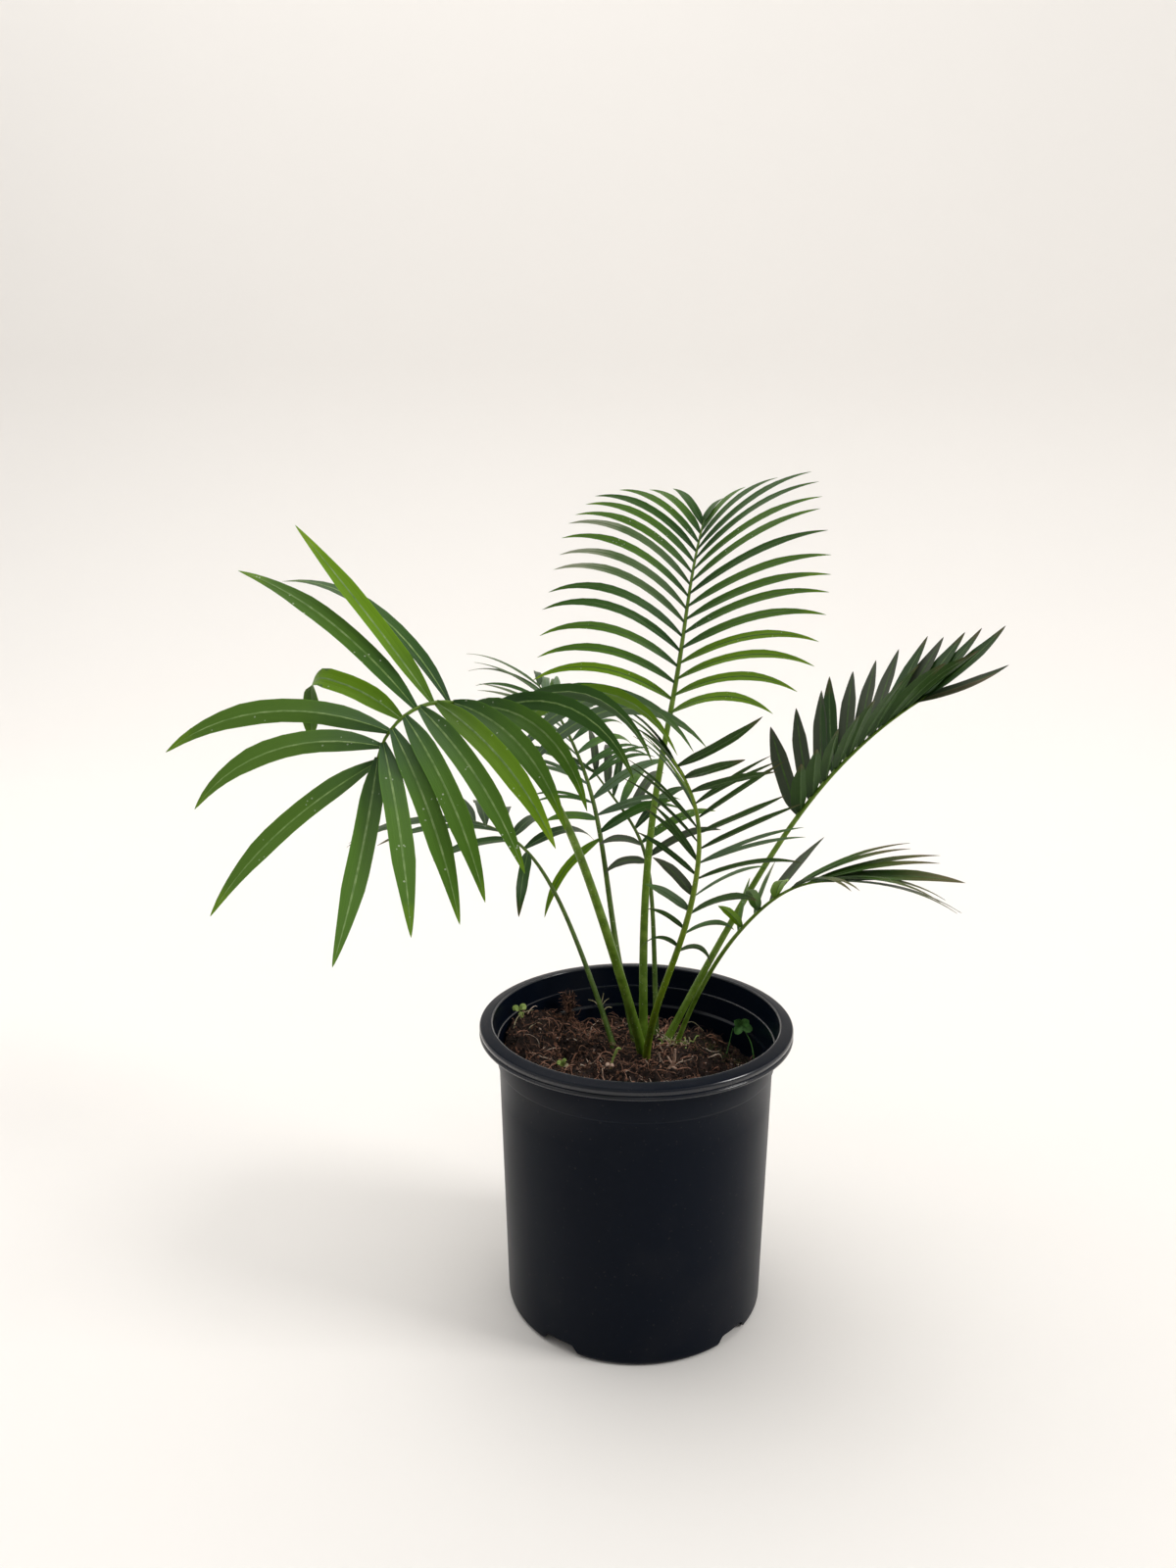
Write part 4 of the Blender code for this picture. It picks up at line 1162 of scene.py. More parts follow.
FRONDS = (
    Frond("frond_front_left", (0.004, 0.006), 0.0026, 0.203, 0.106,
          lean=(21, 47, 67, 173), heading=(-123, -120, -130, -157), roll=(15, -16, -48),
          pairs=13, reach=0.1, width=0.0088,
          share=((1.0, 1.1, 1.02, 0.84, 0.9, 0.86, 0.92), (0.9, 0.9, 0.9, 0.92, 0.87, 0.86, 0.84)),
          spread=((58, 57, 63, 82, 92, 70, 42), (60, 60, 62, 78, 76, 82, 53)),
          keel=((20, 28, 32, 22, 8, 6, 58), (40, 40, 42, 45, 38, 52, 58)),
          droop=((85, 98, 95, 70, 22, 24, -12), (50, 50, 55, 66, 24, 60, 20)),
          jitter=0.12, seed=3, twist=((-124, -121, -118, -84, -42, 12, 96), (0, 0)),
          strays=(("R6", 70, 36, 58, 0.91), ("R7", 77, 30, 0, 0.88), ("R8", 85, 24, 26, 0.93),
                  ("R9", 86, 20, 60, 0.62), ("R11", 83, 56, 60, 0.78), ("L12", 45, 54, -5, 0.92)),
          missing="R0-5", curled="R9", under_look=UNDER_GREEN, midrib_look=MIDRIB_PALE,
          slim=((0.62, "L0-1"), (0.68, "L2"), (0.72, "L3"), (0.85, "L4"), (0.92, "L5")),
          plain="L0-3 L7",
          picked=((Tone.SHEEN, "L0-1"), (Tone.FRESH, "L2 L7 R7 R9"), (Tone.DEEP, "L3-4 R6 R10"))),
    Frond("frond_back_tall", (0.0045, 0.0125), 0.0023, 0.18, 0.131,
          lean=(6, 28, 30, 37), heading=(100, 68, 75, 68), roll=(4, 9, 7),
          pairs=16, reach=0.088, width=0.0054,
          share=((0.95, 0.95, 1.0, 0.98, 0.95, 0.8, 0.33), (0.96, 1.03, 1.02, 1.01, 0.98, 0.94, 0.2)),
          spread=((74, 72, 66, 62, 60, 58, 32), (84, 77, 70, 66, 61, 46, 12)),
          keel=((39, 38, 42, 40, 41, 36, 25), (48, 38, 34, 32, 38, 35, 27)),
          droop=((64, 66, 68, 66, 66, 60, 45), (50, 52, 44, 36, 36, 42, 38)),
          jitter=0.25, seed=2, under_look=UNDER_GREEN, tones=(Tone.GREEN, Tone.DEEP),
          picked=((Tone.FADED, "L6-7 L9"), (Tone.FRESH, "R0-3 L1"))),
    Frond("frond_right", (0.0172, 0.024), 0.0022, 0.14, 0.1,
          lean=(27, 36, 46, 60), heading=(14, 14, 8, 8), roll=(-8, -12, -20),
          pairs=12, reach=0.07, width=0.0105,
          share=((0.74, 0.88, 0.96, 0.92, 0.82), (0.46, 0.52, 0.64, 0.7, 0.66)),
          spread=((58, 52, 50, 30, 8), (56, 52, 49, 28, 10)),
          keel=((50, 41, 32, 35, 38), (52, 44, 36, 38, 6)),
          droop=((0, 0, 0, -6, -15), (10, 12, 15, 22, -8)), jitter=0.9, seed=5,
          strays=(("R10", 34, -38, -14, 0.64), ("R11", 25, -46, -10, 0.66)),
          slim=((0.42, "R10"), (0.5, "R11")), tones=(Tone.DARK,),
          picked=((Tone.SLATE, "L0-2 L4-6 L8 R11"), (Tone.DRY, "R10"))),
    Frond("frond_front_right", (0.0058, 0.0), 0.0019, 0.063, 0.143,
          lean=(25, 28, 27, 42), heading=(-82, -60, -83, -136), roll=(10, -10, 0),
          pairs=14, reach=0.072, width=0.007,
          share=((0.6, 0.66, 0.63, 0.76, 0.62, 0.64, 0.6), (0.4, 0.43, 0.42, 0.5, 0.68, 0.54, 0.5)),
          spread=((105, 100, 82, 66, 72, 62, 58), (48, 50, 38, 45, 50, 40, 50)),
          keel=((22, 30, 28, 15, 26, 27, 40), (15, 13, 18, 18, 28, 38, 42)),
          droop=((65, 66, 45, 32, 0, 20, 25), (70, 66, 20, 30, 35, 25, 35)),
          jitter=1.6, seed=7,
          strays=(("L13", 76, 16, -5, 0.7), ("L12", 70, 10, 5, 0.6), ("L11", 62, 8, 10, 0.7)),
          missing="L0 R0", stalk_look=STALK_YELLOW, slender=0.8, tousle=0.15,
          slim=((0.55, "L4"), (0.6, "L1-2 L5 L9 R1-2 R7"), (0.65, "R5"), (0.7, "L7")),
          split="L6 L10 R6 R8-9", plain="R3-5 R9-10 L2 L4 L6",
          tones=(Tone.DEEP, Tone.DARK, Tone.SLATE, Tone.GREEN),
          picked=((Tone.SHEEN, "R3 L4 L6 R9"), (Tone.SLATE, "R4"), (Tone.FRESH, "R8 R10"),
                  (Tone.GREEN, "L7-8 R6"), (Tone.DARK, "L11-13 R13"), (Tone.DEEP, "R7"))),
    Frond("frond_low_right", (0.0225, 0.0185), 0.0015, 0.073, 0.069,
          lean=(17, 35, 49, 84), heading=(-20, -30, -29, -28), roll=(0, -5, 0),
          pairs=6, reach=0.07, width=0.0105,
          share=((0.5, 0.5, 0.5, 0.92, 0.95, 1.0), (0.35, 0.4, 0.45, 0.5, 1.0, 0.94)),
          spread=((62, 60, 62, 15, 14, 8), (62, 60, 50, 38, 8, 5)),
          keel=((45, 40, 35, 20, 20, 20), (45, 40, 30, 25, 8, 20)),
          droop=((25, 20, 5, 25, 20, 15), (25, 30, 35, 55, 45, 33)),
          jitter=0.4, seed=6, tones=(Tone.BRONZE,), split="L3-4 R3-5", plain="L0-1 R0-2",
          slim=((0.45, "R0"), (0.5, "L0-1"), (0.6, "R1"), (0.7, "R2")),
          picked=((Tone.GREEN, "L0 R1"), (Tone.FRESH, "R0 R2"), (Tone.FADED, "L1"),
                  (Tone.SLATE, "L2"))),
    Frond("frond_back_left", (0.0, 0.02), 0.0018, 0.112, 0.115,
          lean=(33, 27, 41, 55), heading=(116, 112, 125, 132), roll=(-15, 0, -5),
          pairs=13, reach=0.07, width=0.0072,
          share=((0.4, 0.8, 0.75), (0.65, 0.9, 0.5)), spread=((72, 64, 22), (72, 60, 26)),
          keel=((20, 35, 12), (18, 5, -12)), droop=((50, 45, 45), (50, 58, 45)),
          jitter=1.3, seed=9, strays=(("L0", 121, 10, 105, 0.8),), stalk_look=STALK_DARK,
          under_look=UNDER_GREY, slender=0.82, tousle=0.13, split="L2-3 L5-6 L8 R1 R3-4 R6 R8",
          plain="L2-3 L5 L7-8 R2-3 R5 R7-8", tones=(Tone.GREEN, Tone.SHEEN, Tone.DEEP),
          picked=((Tone.FADED, "L8 L10-12"), (Tone.DARK, "R12"), (Tone.FRESH, "L0"))),
    Frond("frond_low_left", (-0.012, 0.014), 0.0015, 0.115, 0.055,
          lean=(24, 53, 74, 89), heading=(136, 142, 151, 152), roll=(0, 0, -15),
          pairs=6, reach=0.074, width=0.0072,
          share=((0.5, 0.66, 1.0, 1.1, 1.1, 1.1), (1.05, 0.9, 0.8, 0.8, 0.8, 0.8)),
          spread=((112, 82, 70, 44, 28, 14), (92, 80, 66, 55, 42, 30)),
          keel=((0, 6, 12, 11, 9, 8), (15, 14, 12, 12, 10, 8)),
          droop=((95, 30, 40, 43, 41, 40), (60, 60, 60, 50, 38, 35)), jitter=0.5, seed=8,
          strays=(("L0", 125, 10, 80, 0.6),), stalk_look=STALK_DARK, tones=(Tone.DARK,)),
    Frond("frond_back_short", (0.0115, 0.0285), 0.0015, 0.094, 0.069,
          lean=(23, 28, 43, 51), heading=(92, 112, 145, 135), roll=(0, 0, 0),
          pairs=9, reach=0.062, width=0.0072, share=((0.5, 0.65, 0.7), (0.8, 1.0, 0.8)),
          spread=((75, 60, 25),) * 2, keel=((22, 22, 15),) * 2, droop=((60, 55, 40),) * 2,
          jitter=1.3, seed=10, stalk_look=STALK_DARK, slender=0.8, tousle=0.13,
          tones=(Tone.DARK, Tone.GREEN, Tone.SLATE)),
)


def search_tree(bm: BMesh) -> BVHTree:
    """Turns a bmesh into a search tree and frees it.

    Args:
        bm: the bmesh.

    Returns:
        The search tree.
    """
    bm.verts.ensure_lookup_table()
    tree = BVHTree.FromBMesh(bm)
    bm.free()
    return tree


@dataclass
class Crown:
    """All the fronds, grown together so that no leaflet runs through another frond."""

    fronds: tuple[Frond, ...] = FRONDS
    slot: str = "frond_green"
    speck_density: float = 70000.0  # pale specks per square metre of stalk
    speck_radius: float = 0.00021
    speck_top: float = 0.27  # specks end this far up
    unevenness: float = 0.26  # how much slimmer its slimmest blades are
    split_angle: float = 0.06  # radians that each half turns
    split_width: float = 0.52
    same_under: float = 0.2  # added to a tone that both sides take
    looks_seed: int = 500  # apart from the seeds of growth

    def grow(self) -> dict[str, list[Leaflet]]:
        """Grows every leaflet by the solids' rule, leaving out those that find no room.

        Returns:
            Each frond's leaflets by its name.
        """
        ground = []
        for name in ("pot", "soil"):
            bm = bmesh.new()
            bm.from_mesh(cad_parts[name].data)
            ground.append(search_tree(bm))
        spines = {frond.name: frond.spine() for frond in self.fronds}
        taken = {frond.name: [search_tree(frond.tube(spines[frond.name]))] for frond in self.fronds}
        grown: dict[str, list[Leaflet]] = {frond.name: [] for frond in self.fronds}
        for frond in self.fronds:
            dice, missing = Random(frond.seed), listed(frond.missing)
            others = ground + [
                tree for name, trees in taken.items() if name != frond.name for tree in trees]
            for number in range(frond.pairs):
                for key in ((-1, number), (1, number)):
                    draws = [dice.uniform(-frond.jitter, frond.jitter) for _ in range(6)]
                    if key in missing:
                        continue
                    for turn in RULE.turns:
                        leaf = frond.leaflet(spines[frond.name], key, draws, turn)
                        tree = search_tree(leaf.solid(RULE.clearance))
                        if not any(tree.overlap(other) for other in others):
                            grown[frond.name].append(leaf)
                            taken[frond.name].append(tree)
                            break
        return grown

    def blades(self, frond: Frond, leaves: list[Leaflet], looks: dict) -> Object:
        """Makes one frond's leaflets.

        Args:
            frond: the frond.
            leaves: its leaflets.
            looks: the materials by finish.

        Returns:
            The piece.
        """
        dice = Random(frond.seed + self.looks_seed)
        picked, slim = ({key: value for value, names in pairs for key in listed(names)} for pairs in (
            frond.picked, frond.slim))
        plain, split = listed(frond.plain), listed(frond.split)
        tones = list(dict.fromkeys([*frond.tones, *(tone for tone, _ in frond.picked)]))
        rails = []
        for leaf in leaves:
            tone = tones.index(picked.get(leaf.key) or dice.choice(frond.tones))
            tone += self.same_under if leaf.key in plain else 0
            leaf.slim = frond.slender * slim.get(leaf.key, 1.0)
            leaf.slim *= 1.0 - self.unevenness * min(frond.jitter, 1.0) * dice.random()
            leaf = leaf.fanned(frond.tousle * dice.uniform(-1.0, 1.0), 1.0)
            if leaf.key in split:
                rails.append(leaf.fanned(self.split_angle, self.split_width).rail(tone, dice))
                leaf = leaf.fanned(-self.split_angle, self.split_width)
            rails.append(leaf.rail(tone, dice))
        sweep = Sweep(Section.BLADE, len(tones), sided=True)
        materials = [looks[look] for look in (
            *(tone.value for tone in tones), frond.under_look, frond.midrib_look)]
        return sweep.make(frond.name + "_leaflets", rails, materials, 40.0)

    def stalk(self, frond: Frond, looks: dict) -> Object:
        """Makes one frond's stalk and rib, with its pale specks.

        Args:
            frond: the frond.
            looks: the materials by finish.

        Returns:
            The piece.
        """
        sweep = Sweep(Section.STALK, 1, sided=False)
        stalk = sweep.make(
            frond.name + "_rib", [frond.stalk_rail(frond.spine())], [looks[frond.stalk_look]], 60.0)
        run_nodes(stalk, self.specks(), {
            "Density": self.speck_density, "Radius": self.speck_radius, "Top": self.speck_top,
            "Seed": frond.seed, "Speck": looks[STALK_SPECK]})
        stalk.data.shade_smooth()
        return stalk

    @staticmethod
    def specks() -> NodeTree:
        """Builds the nodes that strew raised specks over a stalk.

        Returns:
            The node tree.
        """
        g, given = Graph.geometry("stalk_specks", {
            "Density": "Float", "Radius": "Float", "Top": "Float", "Seed": "Int", "Speck": "Material"})
        low = g.maths("LESS_THAN", g.height(), given["Top"])
        points = g.add("GeometryNodeDistributePointsOnFaces", {
            "Mesh": given["Geometry"], "Selection": low, "Density": given["Density"],
            "Seed": given["Seed"]})
        ball = g.out("GeometryNodeMeshIcoSphere", {"Radius": given["Radius"], "Subdivisions": 1})
        strewn = g.out("GeometryNodeInstanceOnPoints", {
            "Points": points.outputs["Points"], "Instance": ball,
            "Scale": g.drawn((0.5, 0.5, 0.3), (1.5, 1.9, 0.8)), "Rotation": points.outputs["Rotation"]})
        strewn = g.out("GeometryNodeRealizeInstances", {"Geometry": strewn})
        solid = g.dressed(strewn, given["Speck"])
        join = g.add("GeometryNodeJoinGeometry")
        g.tree.links.new(given["Geometry"], join.inputs[0])
        g.tree.links.new(solid, join.inputs[0])
        g.add("NodeGroupOutput", {"Geometry": join.outputs[0]})
        return g.tree

    def build(self) -> None:
        """Makes every frond's pieces and attaches them to the body."""
        looks = {tone.value: tone.value.make() for tone in Tone}
        for finish in (UNDER_GREEN, UNDER_DARK, UNDER_GREY, MIDRIB_PALE, MIDRIB_DULL, STALK_GREEN,
                       STALK_DARK, STALK_YELLOW, STALK_SPECK):
            looks[finish] = finish.make()
        grown = self.grow()
        for frond in self.fronds:
            present(self.stalk(frond, looks), frond.name, self.slot)
            present(self.blades(frond, grown[frond.name], looks), frond.name, self.slot)


@dataclass
class Pot:
    """The round nursery pot with its rolled, beaded lip and four drain notches."""

    height: float = 0.157
    rim_radius: float = 0.0825
    rim_inner: float = 0.0752
    rim_depth: float = 0.0066
    collar_depth: float = 0.0223
    collar_step: float = 0.0009
    collar_radius: float = 0.0742
    body_top: float = 0.0722
    foot_radius: float = 0.0688
    foot_round: float = 0.0032
    wall: float = 0.0016
    floor: float = 0.0022
    segments: int = 256
    notch_half: float = 0.0118
    notch_height: float = 0.0058
    notch_depth: float = 0.013
    notch_azimuths: Run = (-123.0, -41.5, 57.0, 138.5)
    dish_radius: float = 0.052  # of the hollow in the underside
    dish_depth: float = 0.0007

    @staticmethod
    def arc(radius: float, height: float, size: float, start: float, end: float,
            steps: int) -> list[tuple[float, float]]:
        """Gives points on a rounding of the profile."""
        angles = (radians(start + (end - start) * k / steps) for k in range(steps + 1))
        return [(radius + size * cos(a), height + size * sin(a)) for a in angles]

    def profile(self) -> list[tuple[float, float]]:
        """Draws the half section, from the underside's middle round to the floor's.

        Returns:
            (radius, height) pairs.
        """
        top, step = self.height, self.height - self.collar_depth
        lip, low = top - self.rim_depth, step - self.collar_step
        dish, foot, toe, wall = self.dish_radius, self.foot_round, self.foot_radius, self.wall
        body, collar, edge = self.body_top, self.collar_radius, self.rim_radius
        inner, ledge = collar - wall, body + self.collar_step - wall
        return [
            (0.0, self.dish_depth), (dish - 0.003, self.dish_depth), (dish, 0.0003),
            (dish + 0.0015, 0.0),
            *self.arc(toe - foot, foot, foot, -90, 0, 8),
            *((toe + (body - toe) * k / 8, foot + (low - foot) * k / 8) for k in range(1, 8)),
            (body, low - 0.0004), (body + 0.0002, low),
            (body + self.collar_step - 0.0003, step - 0.0002),
            (body + self.collar_step, step + 0.0003),
            (collar - 0.0002, lip - 0.0042), (collar, lip - 0.0018),
            *self.arc(collar + 0.0014, lip - 0.0016, 0.0014, 180, 90, 5),
            (edge - 0.003, lip - 0.0002), (edge - 0.002, lip + 0.0002),
            *self.arc(edge - 0.0009, lip + 0.0007, 0.0009, -90, 70, 7),
            *self.arc(edge - 0.0002, lip + 0.002, 0.0005, 250, 130, 4),
            *self.arc(edge - 0.0019, top - 0.0026, 0.0019, 0, 70, 8),
            (edge - 0.003, top - 0.00045), (edge - 0.0045, top - 0.00012),
            (self.rim_inner + 0.0018, top),
            *self.arc(self.rim_inner + 0.001, top - 0.001, 0.001, 90, 180, 5),
            (inner + 0.0014, lip - 0.0015), (inner + 0.0007, lip - 0.0046),
            (inner + 0.0001, lip - 0.0049), (inner - 0.0001, lip - 0.0056),
            (ledge, step + 0.0006), (ledge - 0.0002, step), (body - wall, low),
            (body - wall - 0.0001, low - 0.0006),
            (toe - wall, self.floor + wall), (toe - 1.3 * wall, self.floor + 0.4 * wall),
            (toe - 2.0 * wall, self.floor), (0.0, self.floor)]

    def rubbed(self, radius: float, height: float) -> bool:
        """Tells whether a place on the profile lies on a rubbed edge.

        Args:
            radius: its distance from the axis.
            height: its height.

        Returns:
            Whether it does.
        """
        step, lip = self.height - self.collar_depth, self.height - self.rim_depth
        return (radius < self.rim_inner + 0.0014 and height > self.height - 0.001
                or radius > self.rim_radius - 0.0005
                or radius < self.collar_radius - 0.0006 and abs(height - lip + 0.005) < 0.0004
                or radius < self.body_top - 0.0002 and abs(height - step) < 0.0005)

    def turned(self) -> BMesh:
        """Turns the profile about Z.

        Returns:
            A closed mesh.
        """
        bm = bmesh.new()
        places, rings = self.profile(), []
        for radius, height in places:
            if radius == 0.0:
                rings.append([bm.verts.new((0.0, 0.0, height))])
                continue
            rings.append(
                [bm.verts.new((radius * x, radius * y, height)) for x, y in circle(self.segments)])
        for number, (low, high) in enumerate(zip(rings, rings[1:])):
            middle = [(a + b) / 2 for a, b in zip(places[number], places[number + 1])]
            for k in range(self.segments):
                n = (k + 1) % self.segments
                corners = (
                    low[k % len(low)], low[n % len(low)], high[n % len(high)], high[k % len(high)])
                face = bm.faces.new(list(dict.fromkeys(corners)))
                face.material_index = int(self.rubbed(*middle))
        bmesh.ops.recalc_face_normals(bm, faces=bm.faces)
        return bm

    def notch(self, azimuth: float) -> Object:
        """Makes the cutter of one drain notch.

        Args:
            azimuth: where it is, in degrees from +X.

        Returns:
            The cutter.
        """
        sides = [(-1.0, -0.4), (-1.0, 0.0), (-0.93, 0.25), (-0.84, 0.52), (-0.76, 0.76),
                 (-0.67, 0.93), (-0.55, 1.0)]
        outline = sides + [(-x, z) for x, z in reversed(sides)]
        radial = Vector((cos(radians(azimuth)), sin(radians(azimuth)), 0.0))
        across = UP.cross(radial)
        bm = bmesh.new()
        ends = [[bm.verts.new(radial * distance + across * (x * self.notch_half)
                              + UP * (z * self.notch_height)) for x, z in outline]
                for distance in (self.foot_radius - self.notch_depth, self.foot_radius + 0.006)]
        for k in range(len(outline)):
            n = (k + 1) % len(outline)
            bm.faces.new((ends[0][k], ends[0][n], ends[1][n], ends[1][k]))
        bm.faces.new(ends[0])
        bm.faces.new(list(reversed(ends[1])))
        bmesh.ops.recalc_face_normals(bm, faces=bm.faces)
        return shaped("notch_cutter", bm)

    def build(self) -> None:
        shell = shaped("pot_shell", self.turned())
        for finish in (
                PotFinish(), PotFinish("pot_plastic_rubbed", roughness=0.26, coat=0.6, specular=0.2)):
            shell.data.materials.append(finish.make())
        cutters = [self.notch(azimuth) for azimuth in self.notch_azimuths]
        for cutter in cutters:
            cut = shell.modifiers.new("notch", "BOOLEAN")
            cut.operation, cut.solver, cut.object = "DIFFERENCE", "EXACT", cutter
        graph = bpy.context.evaluated_depsgraph_get()
        shell.data = bpy.data.meshes.new_from_object(shell.evaluated_get(graph))
        shell.modifiers.clear()
        for cutter in cutters:
            bpy.data.objects.remove(cutter)
        settle(shell, 42.0)
        present(shell, "pot", "pot_plastic")


@dataclass
class Soil:
    """The coir and peat mix: a broken, heaped surface strewn with crumbs and fibres."""

    bed: float = 0.133
    edge: float = 0.1255
    tilt: float = 0.003
    bed_centre: tuple[float, float] = (0.008, 0.016)
    bed_radius: float = 0.027
    bed_blend: float = 0.022
    mounds: tuple = (
        (-0.046, 0.03, 0.003, 0.02), (-0.066, 0.016, 0.015, 0.018), (-0.056, 0.042, 0.0105, 0.016),
        (-0.04, -0.022, 0.003, 0.017), (-0.02, 0.05, -0.004, 0.014), (0.045, 0.006, 0.0034, 0.016),
        (0.036, -0.038, 0.0026, 0.018), (0.02, 0.058, -0.002, 0.016))
    pits: tuple = (
        (-0.036, 0.014, 0.0095, 0.008), (-0.022, 0.006, 0.004, 0.006), (0.052, 0.03, 0.005, 0.012),
        (-0.01, 0.034, 0.0035, 0.007))
    wall_low: tuple[float, float] = (0.0038, 0.0672)  # height and inner radius of the pot's wall
    wall_high: tuple[float, float] = (0.1347, 0.0706)
    gap: float = 0.0003
    body_radius: float = 0.0722  # the pot's, under its collar
    underside: float = 0.0025
    heel: float = 0.0019  # how far inside the wall's foot it ends
    clods: tuple[float, float] = (95.0, 0.0023)  # how fine and how high
    grit: tuple[float, float] = (420.0, 0.0013)
    rings: int = 96
    segments: int = 240
    crumb_density: float = 330000.0
    crumb_radius: float = 0.0012
    crumb_floor: float = 0.112  # none lie below this
    fibre_reach: float = 0.069  # from the pot's axis
    fibres: int = 1900
    damp_side: float = 0.026  # right of here most fibres are dark
    seed: int = 21

    def wall(self, height: float) -> float:
        """Gives the pot's inner radius."""
        (low, narrow), (high, wide) = self.wall_low, self.wall_high
        return narrow + (height - low) / (high - low) * (wide - narrow)

    def ground(self, x: float, y: float) -> float:
        """Gives the solid's surface, without roughness.

        Args:
            x: where.
            y: where.

        Returns:
            The height there.
        """
        away = hypot(x - self.bed_centre[0], y - self.bed_centre[1])
        share = min(max((away - self.bed_radius) / self.bed_blend, 0.0), 1.0)
        blend = share * share * (3.0 - 2.0 * share)
        level = self.edge - self.tilt * x / self.body_radius
        for mound_x, mound_y, height, reach in self.mounds:
            level += height * exp(-((x - mound_x) ** 2 + (y - mound_y) ** 2) / reach ** 2)
        return self.bed + (level - self.bed) * blend

    def height(self, x: float, y: float) -> float:
        """Gives the rough surface that shows.

        Args:
            x: where.
            y: where.

        Returns:
            The height there.
        """
        spot = Vector((x, y, 0.0))
        rough = self.clods[1] * noise.fractal(spot * self.clods[0], 0.9, 2.0, 3)
        rough += self.grit[1] * noise.fractal(spot * self.grit[0] + Vector((7.0, 3.0, 0.0)), 0.7, 2.1, 4)
        for pit_x, pit_y, depth, reach in self.pits:
            rough -= depth * exp(-((x - pit_x) ** 2 + (y - pit_y) ** 2) / reach ** 2)
        return self.ground(x, y) + rough

    def build_bed(self) -> Object:
        """Makes the fill with its rough top.

        Returns:
            The fill.
        """
        bm = bmesh.new()
        rings = []
        for ring in range(1, self.rings + 1):
            row = []
            for x, y in circle(self.segments):
                radius = ring / self.rings * (self.wall(self.edge) - self.gap)
                height = self.height(radius * x, radius * y)
                if ring == self.rings:
                    radius = self.wall(height) - self.gap
                row.append(bm.verts.new((radius * x, radius * y, height)))
            rings.append(row)
        low = self.wall_low[0] + self.gap
        for radius, height in (
                (self.wall(low) - self.gap, low), (self.wall(low) - self.heel, self.underside)):
            rings.append(
                [bm.verts.new((radius * x, radius * y, height)) for x, y in circle(self.segments)])
        top = bm.verts.new((0.0, 0.0, self.height(0.0, 0.0)))
        bottom = bm.verts.new((0.0, 0.0, self.underside))
        for k in range(self.segments):
            n = (k + 1) % self.segments
            bm.faces.new((top, rings[0][k], rings[0][n]))
            bm.faces.new((bottom, rings[-1][n], rings[-1][k]))
            for inner, outer in zip(rings, rings[1:]):
                bm.faces.new((inner[k], outer[k], outer[n], inner[n]))
        return shaped("soil_bed", bm)

    @staticmethod
    def crumb_nodes() -> NodeTree:
        """Builds the nodes that strew crumbs over the bed's top.

        Returns:
            The node tree.
        """
        g, given = Graph.geometry("soil_crumbs", {
            "Density": "Float", "Radius": "Float", "Floor": "Float", "Seed": "Int",
            **{f"Material {k}": "Material" for k in range(len(SOIL_CRUMBS))}})
        on_top = g.maths("GREATER_THAN", g.height(), given["Floor"])
        points = g.out("GeometryNodeDistributePointsOnFaces", {
            "Mesh": given["Geometry"], "Density": given["Density"], "Seed": given["Seed"],
            "Selection": on_top}, output="Points")
        ball = g.out("GeometryNodeMeshIcoSphere", {"Radius": given["Radius"], "Subdivisions": 1})
        skew = g.maths("POWER", g.drawn(0.0, 1.0, 1), 2.6)
        size = g.maths("MULTIPLY_ADD", skew, 0.95, 0.22)
        shape = g.drawn((0.6, 0.5, 0.35), (1.6, 1.1, 0.9), 2)
        strewn = g.out("GeometryNodeInstanceOnPoints", {
            "Points": points, "Instance": ball, "Scale": g.scaled(shape, size),
            "Rotation": g.drawn((0.0, 0.0, 0.0), (6.283, 6.283, 6.283), 3)})
        strewn = g.out("GeometryNodeStoreNamedAttribute", {
            "Geometry": strewn, "Name": "deal", "Value": g.drawn(0.0, 1.0, 4)},
            domain="INSTANCE")
        solid = g.out("GeometryNodeRealizeInstances", {"Geometry": strewn})
        wobble = g.out("ShaderNodeTexNoise", {
            "Vector": g.out("GeometryNodeInputPosition"), "Scale": 1300.0}, output="Color")
        wobble = g.scaled(g.added(wobble, (-0.5, -0.5, -0.5)), 0.0012)
        solid = g.out("GeometryNodeSetPosition", {"Geometry": solid, "Offset": wobble})
        dealt = g.read("deal")
        for number, least in enumerate((-1.0, 0.5, 0.8, 0.975)):
            solid = g.dressed(solid, given[f"Material {number}"], g.maths("GREATER_THAN", dealt, least))
        g.add("NodeGroupOutput", {"Geometry": solid})
        return g.tree

    def build_crumbs(self, bed: Object) -> Object:
        """Strews the crumbs.

        Args:
            bed: the fill that they lie on.

        Returns:
            The piece.
        """
        crumbs = linked("soil_crumbs", bed.data.copy())
        run_nodes(crumbs, self.crumb_nodes(), {
            "Density": self.crumb_density, "Radius": self.crumb_radius, "Floor": self.crumb_floor,
            "Seed": self.seed, **numbered([finish.make() for finish in SOIL_CRUMBS])})
        return crumbs

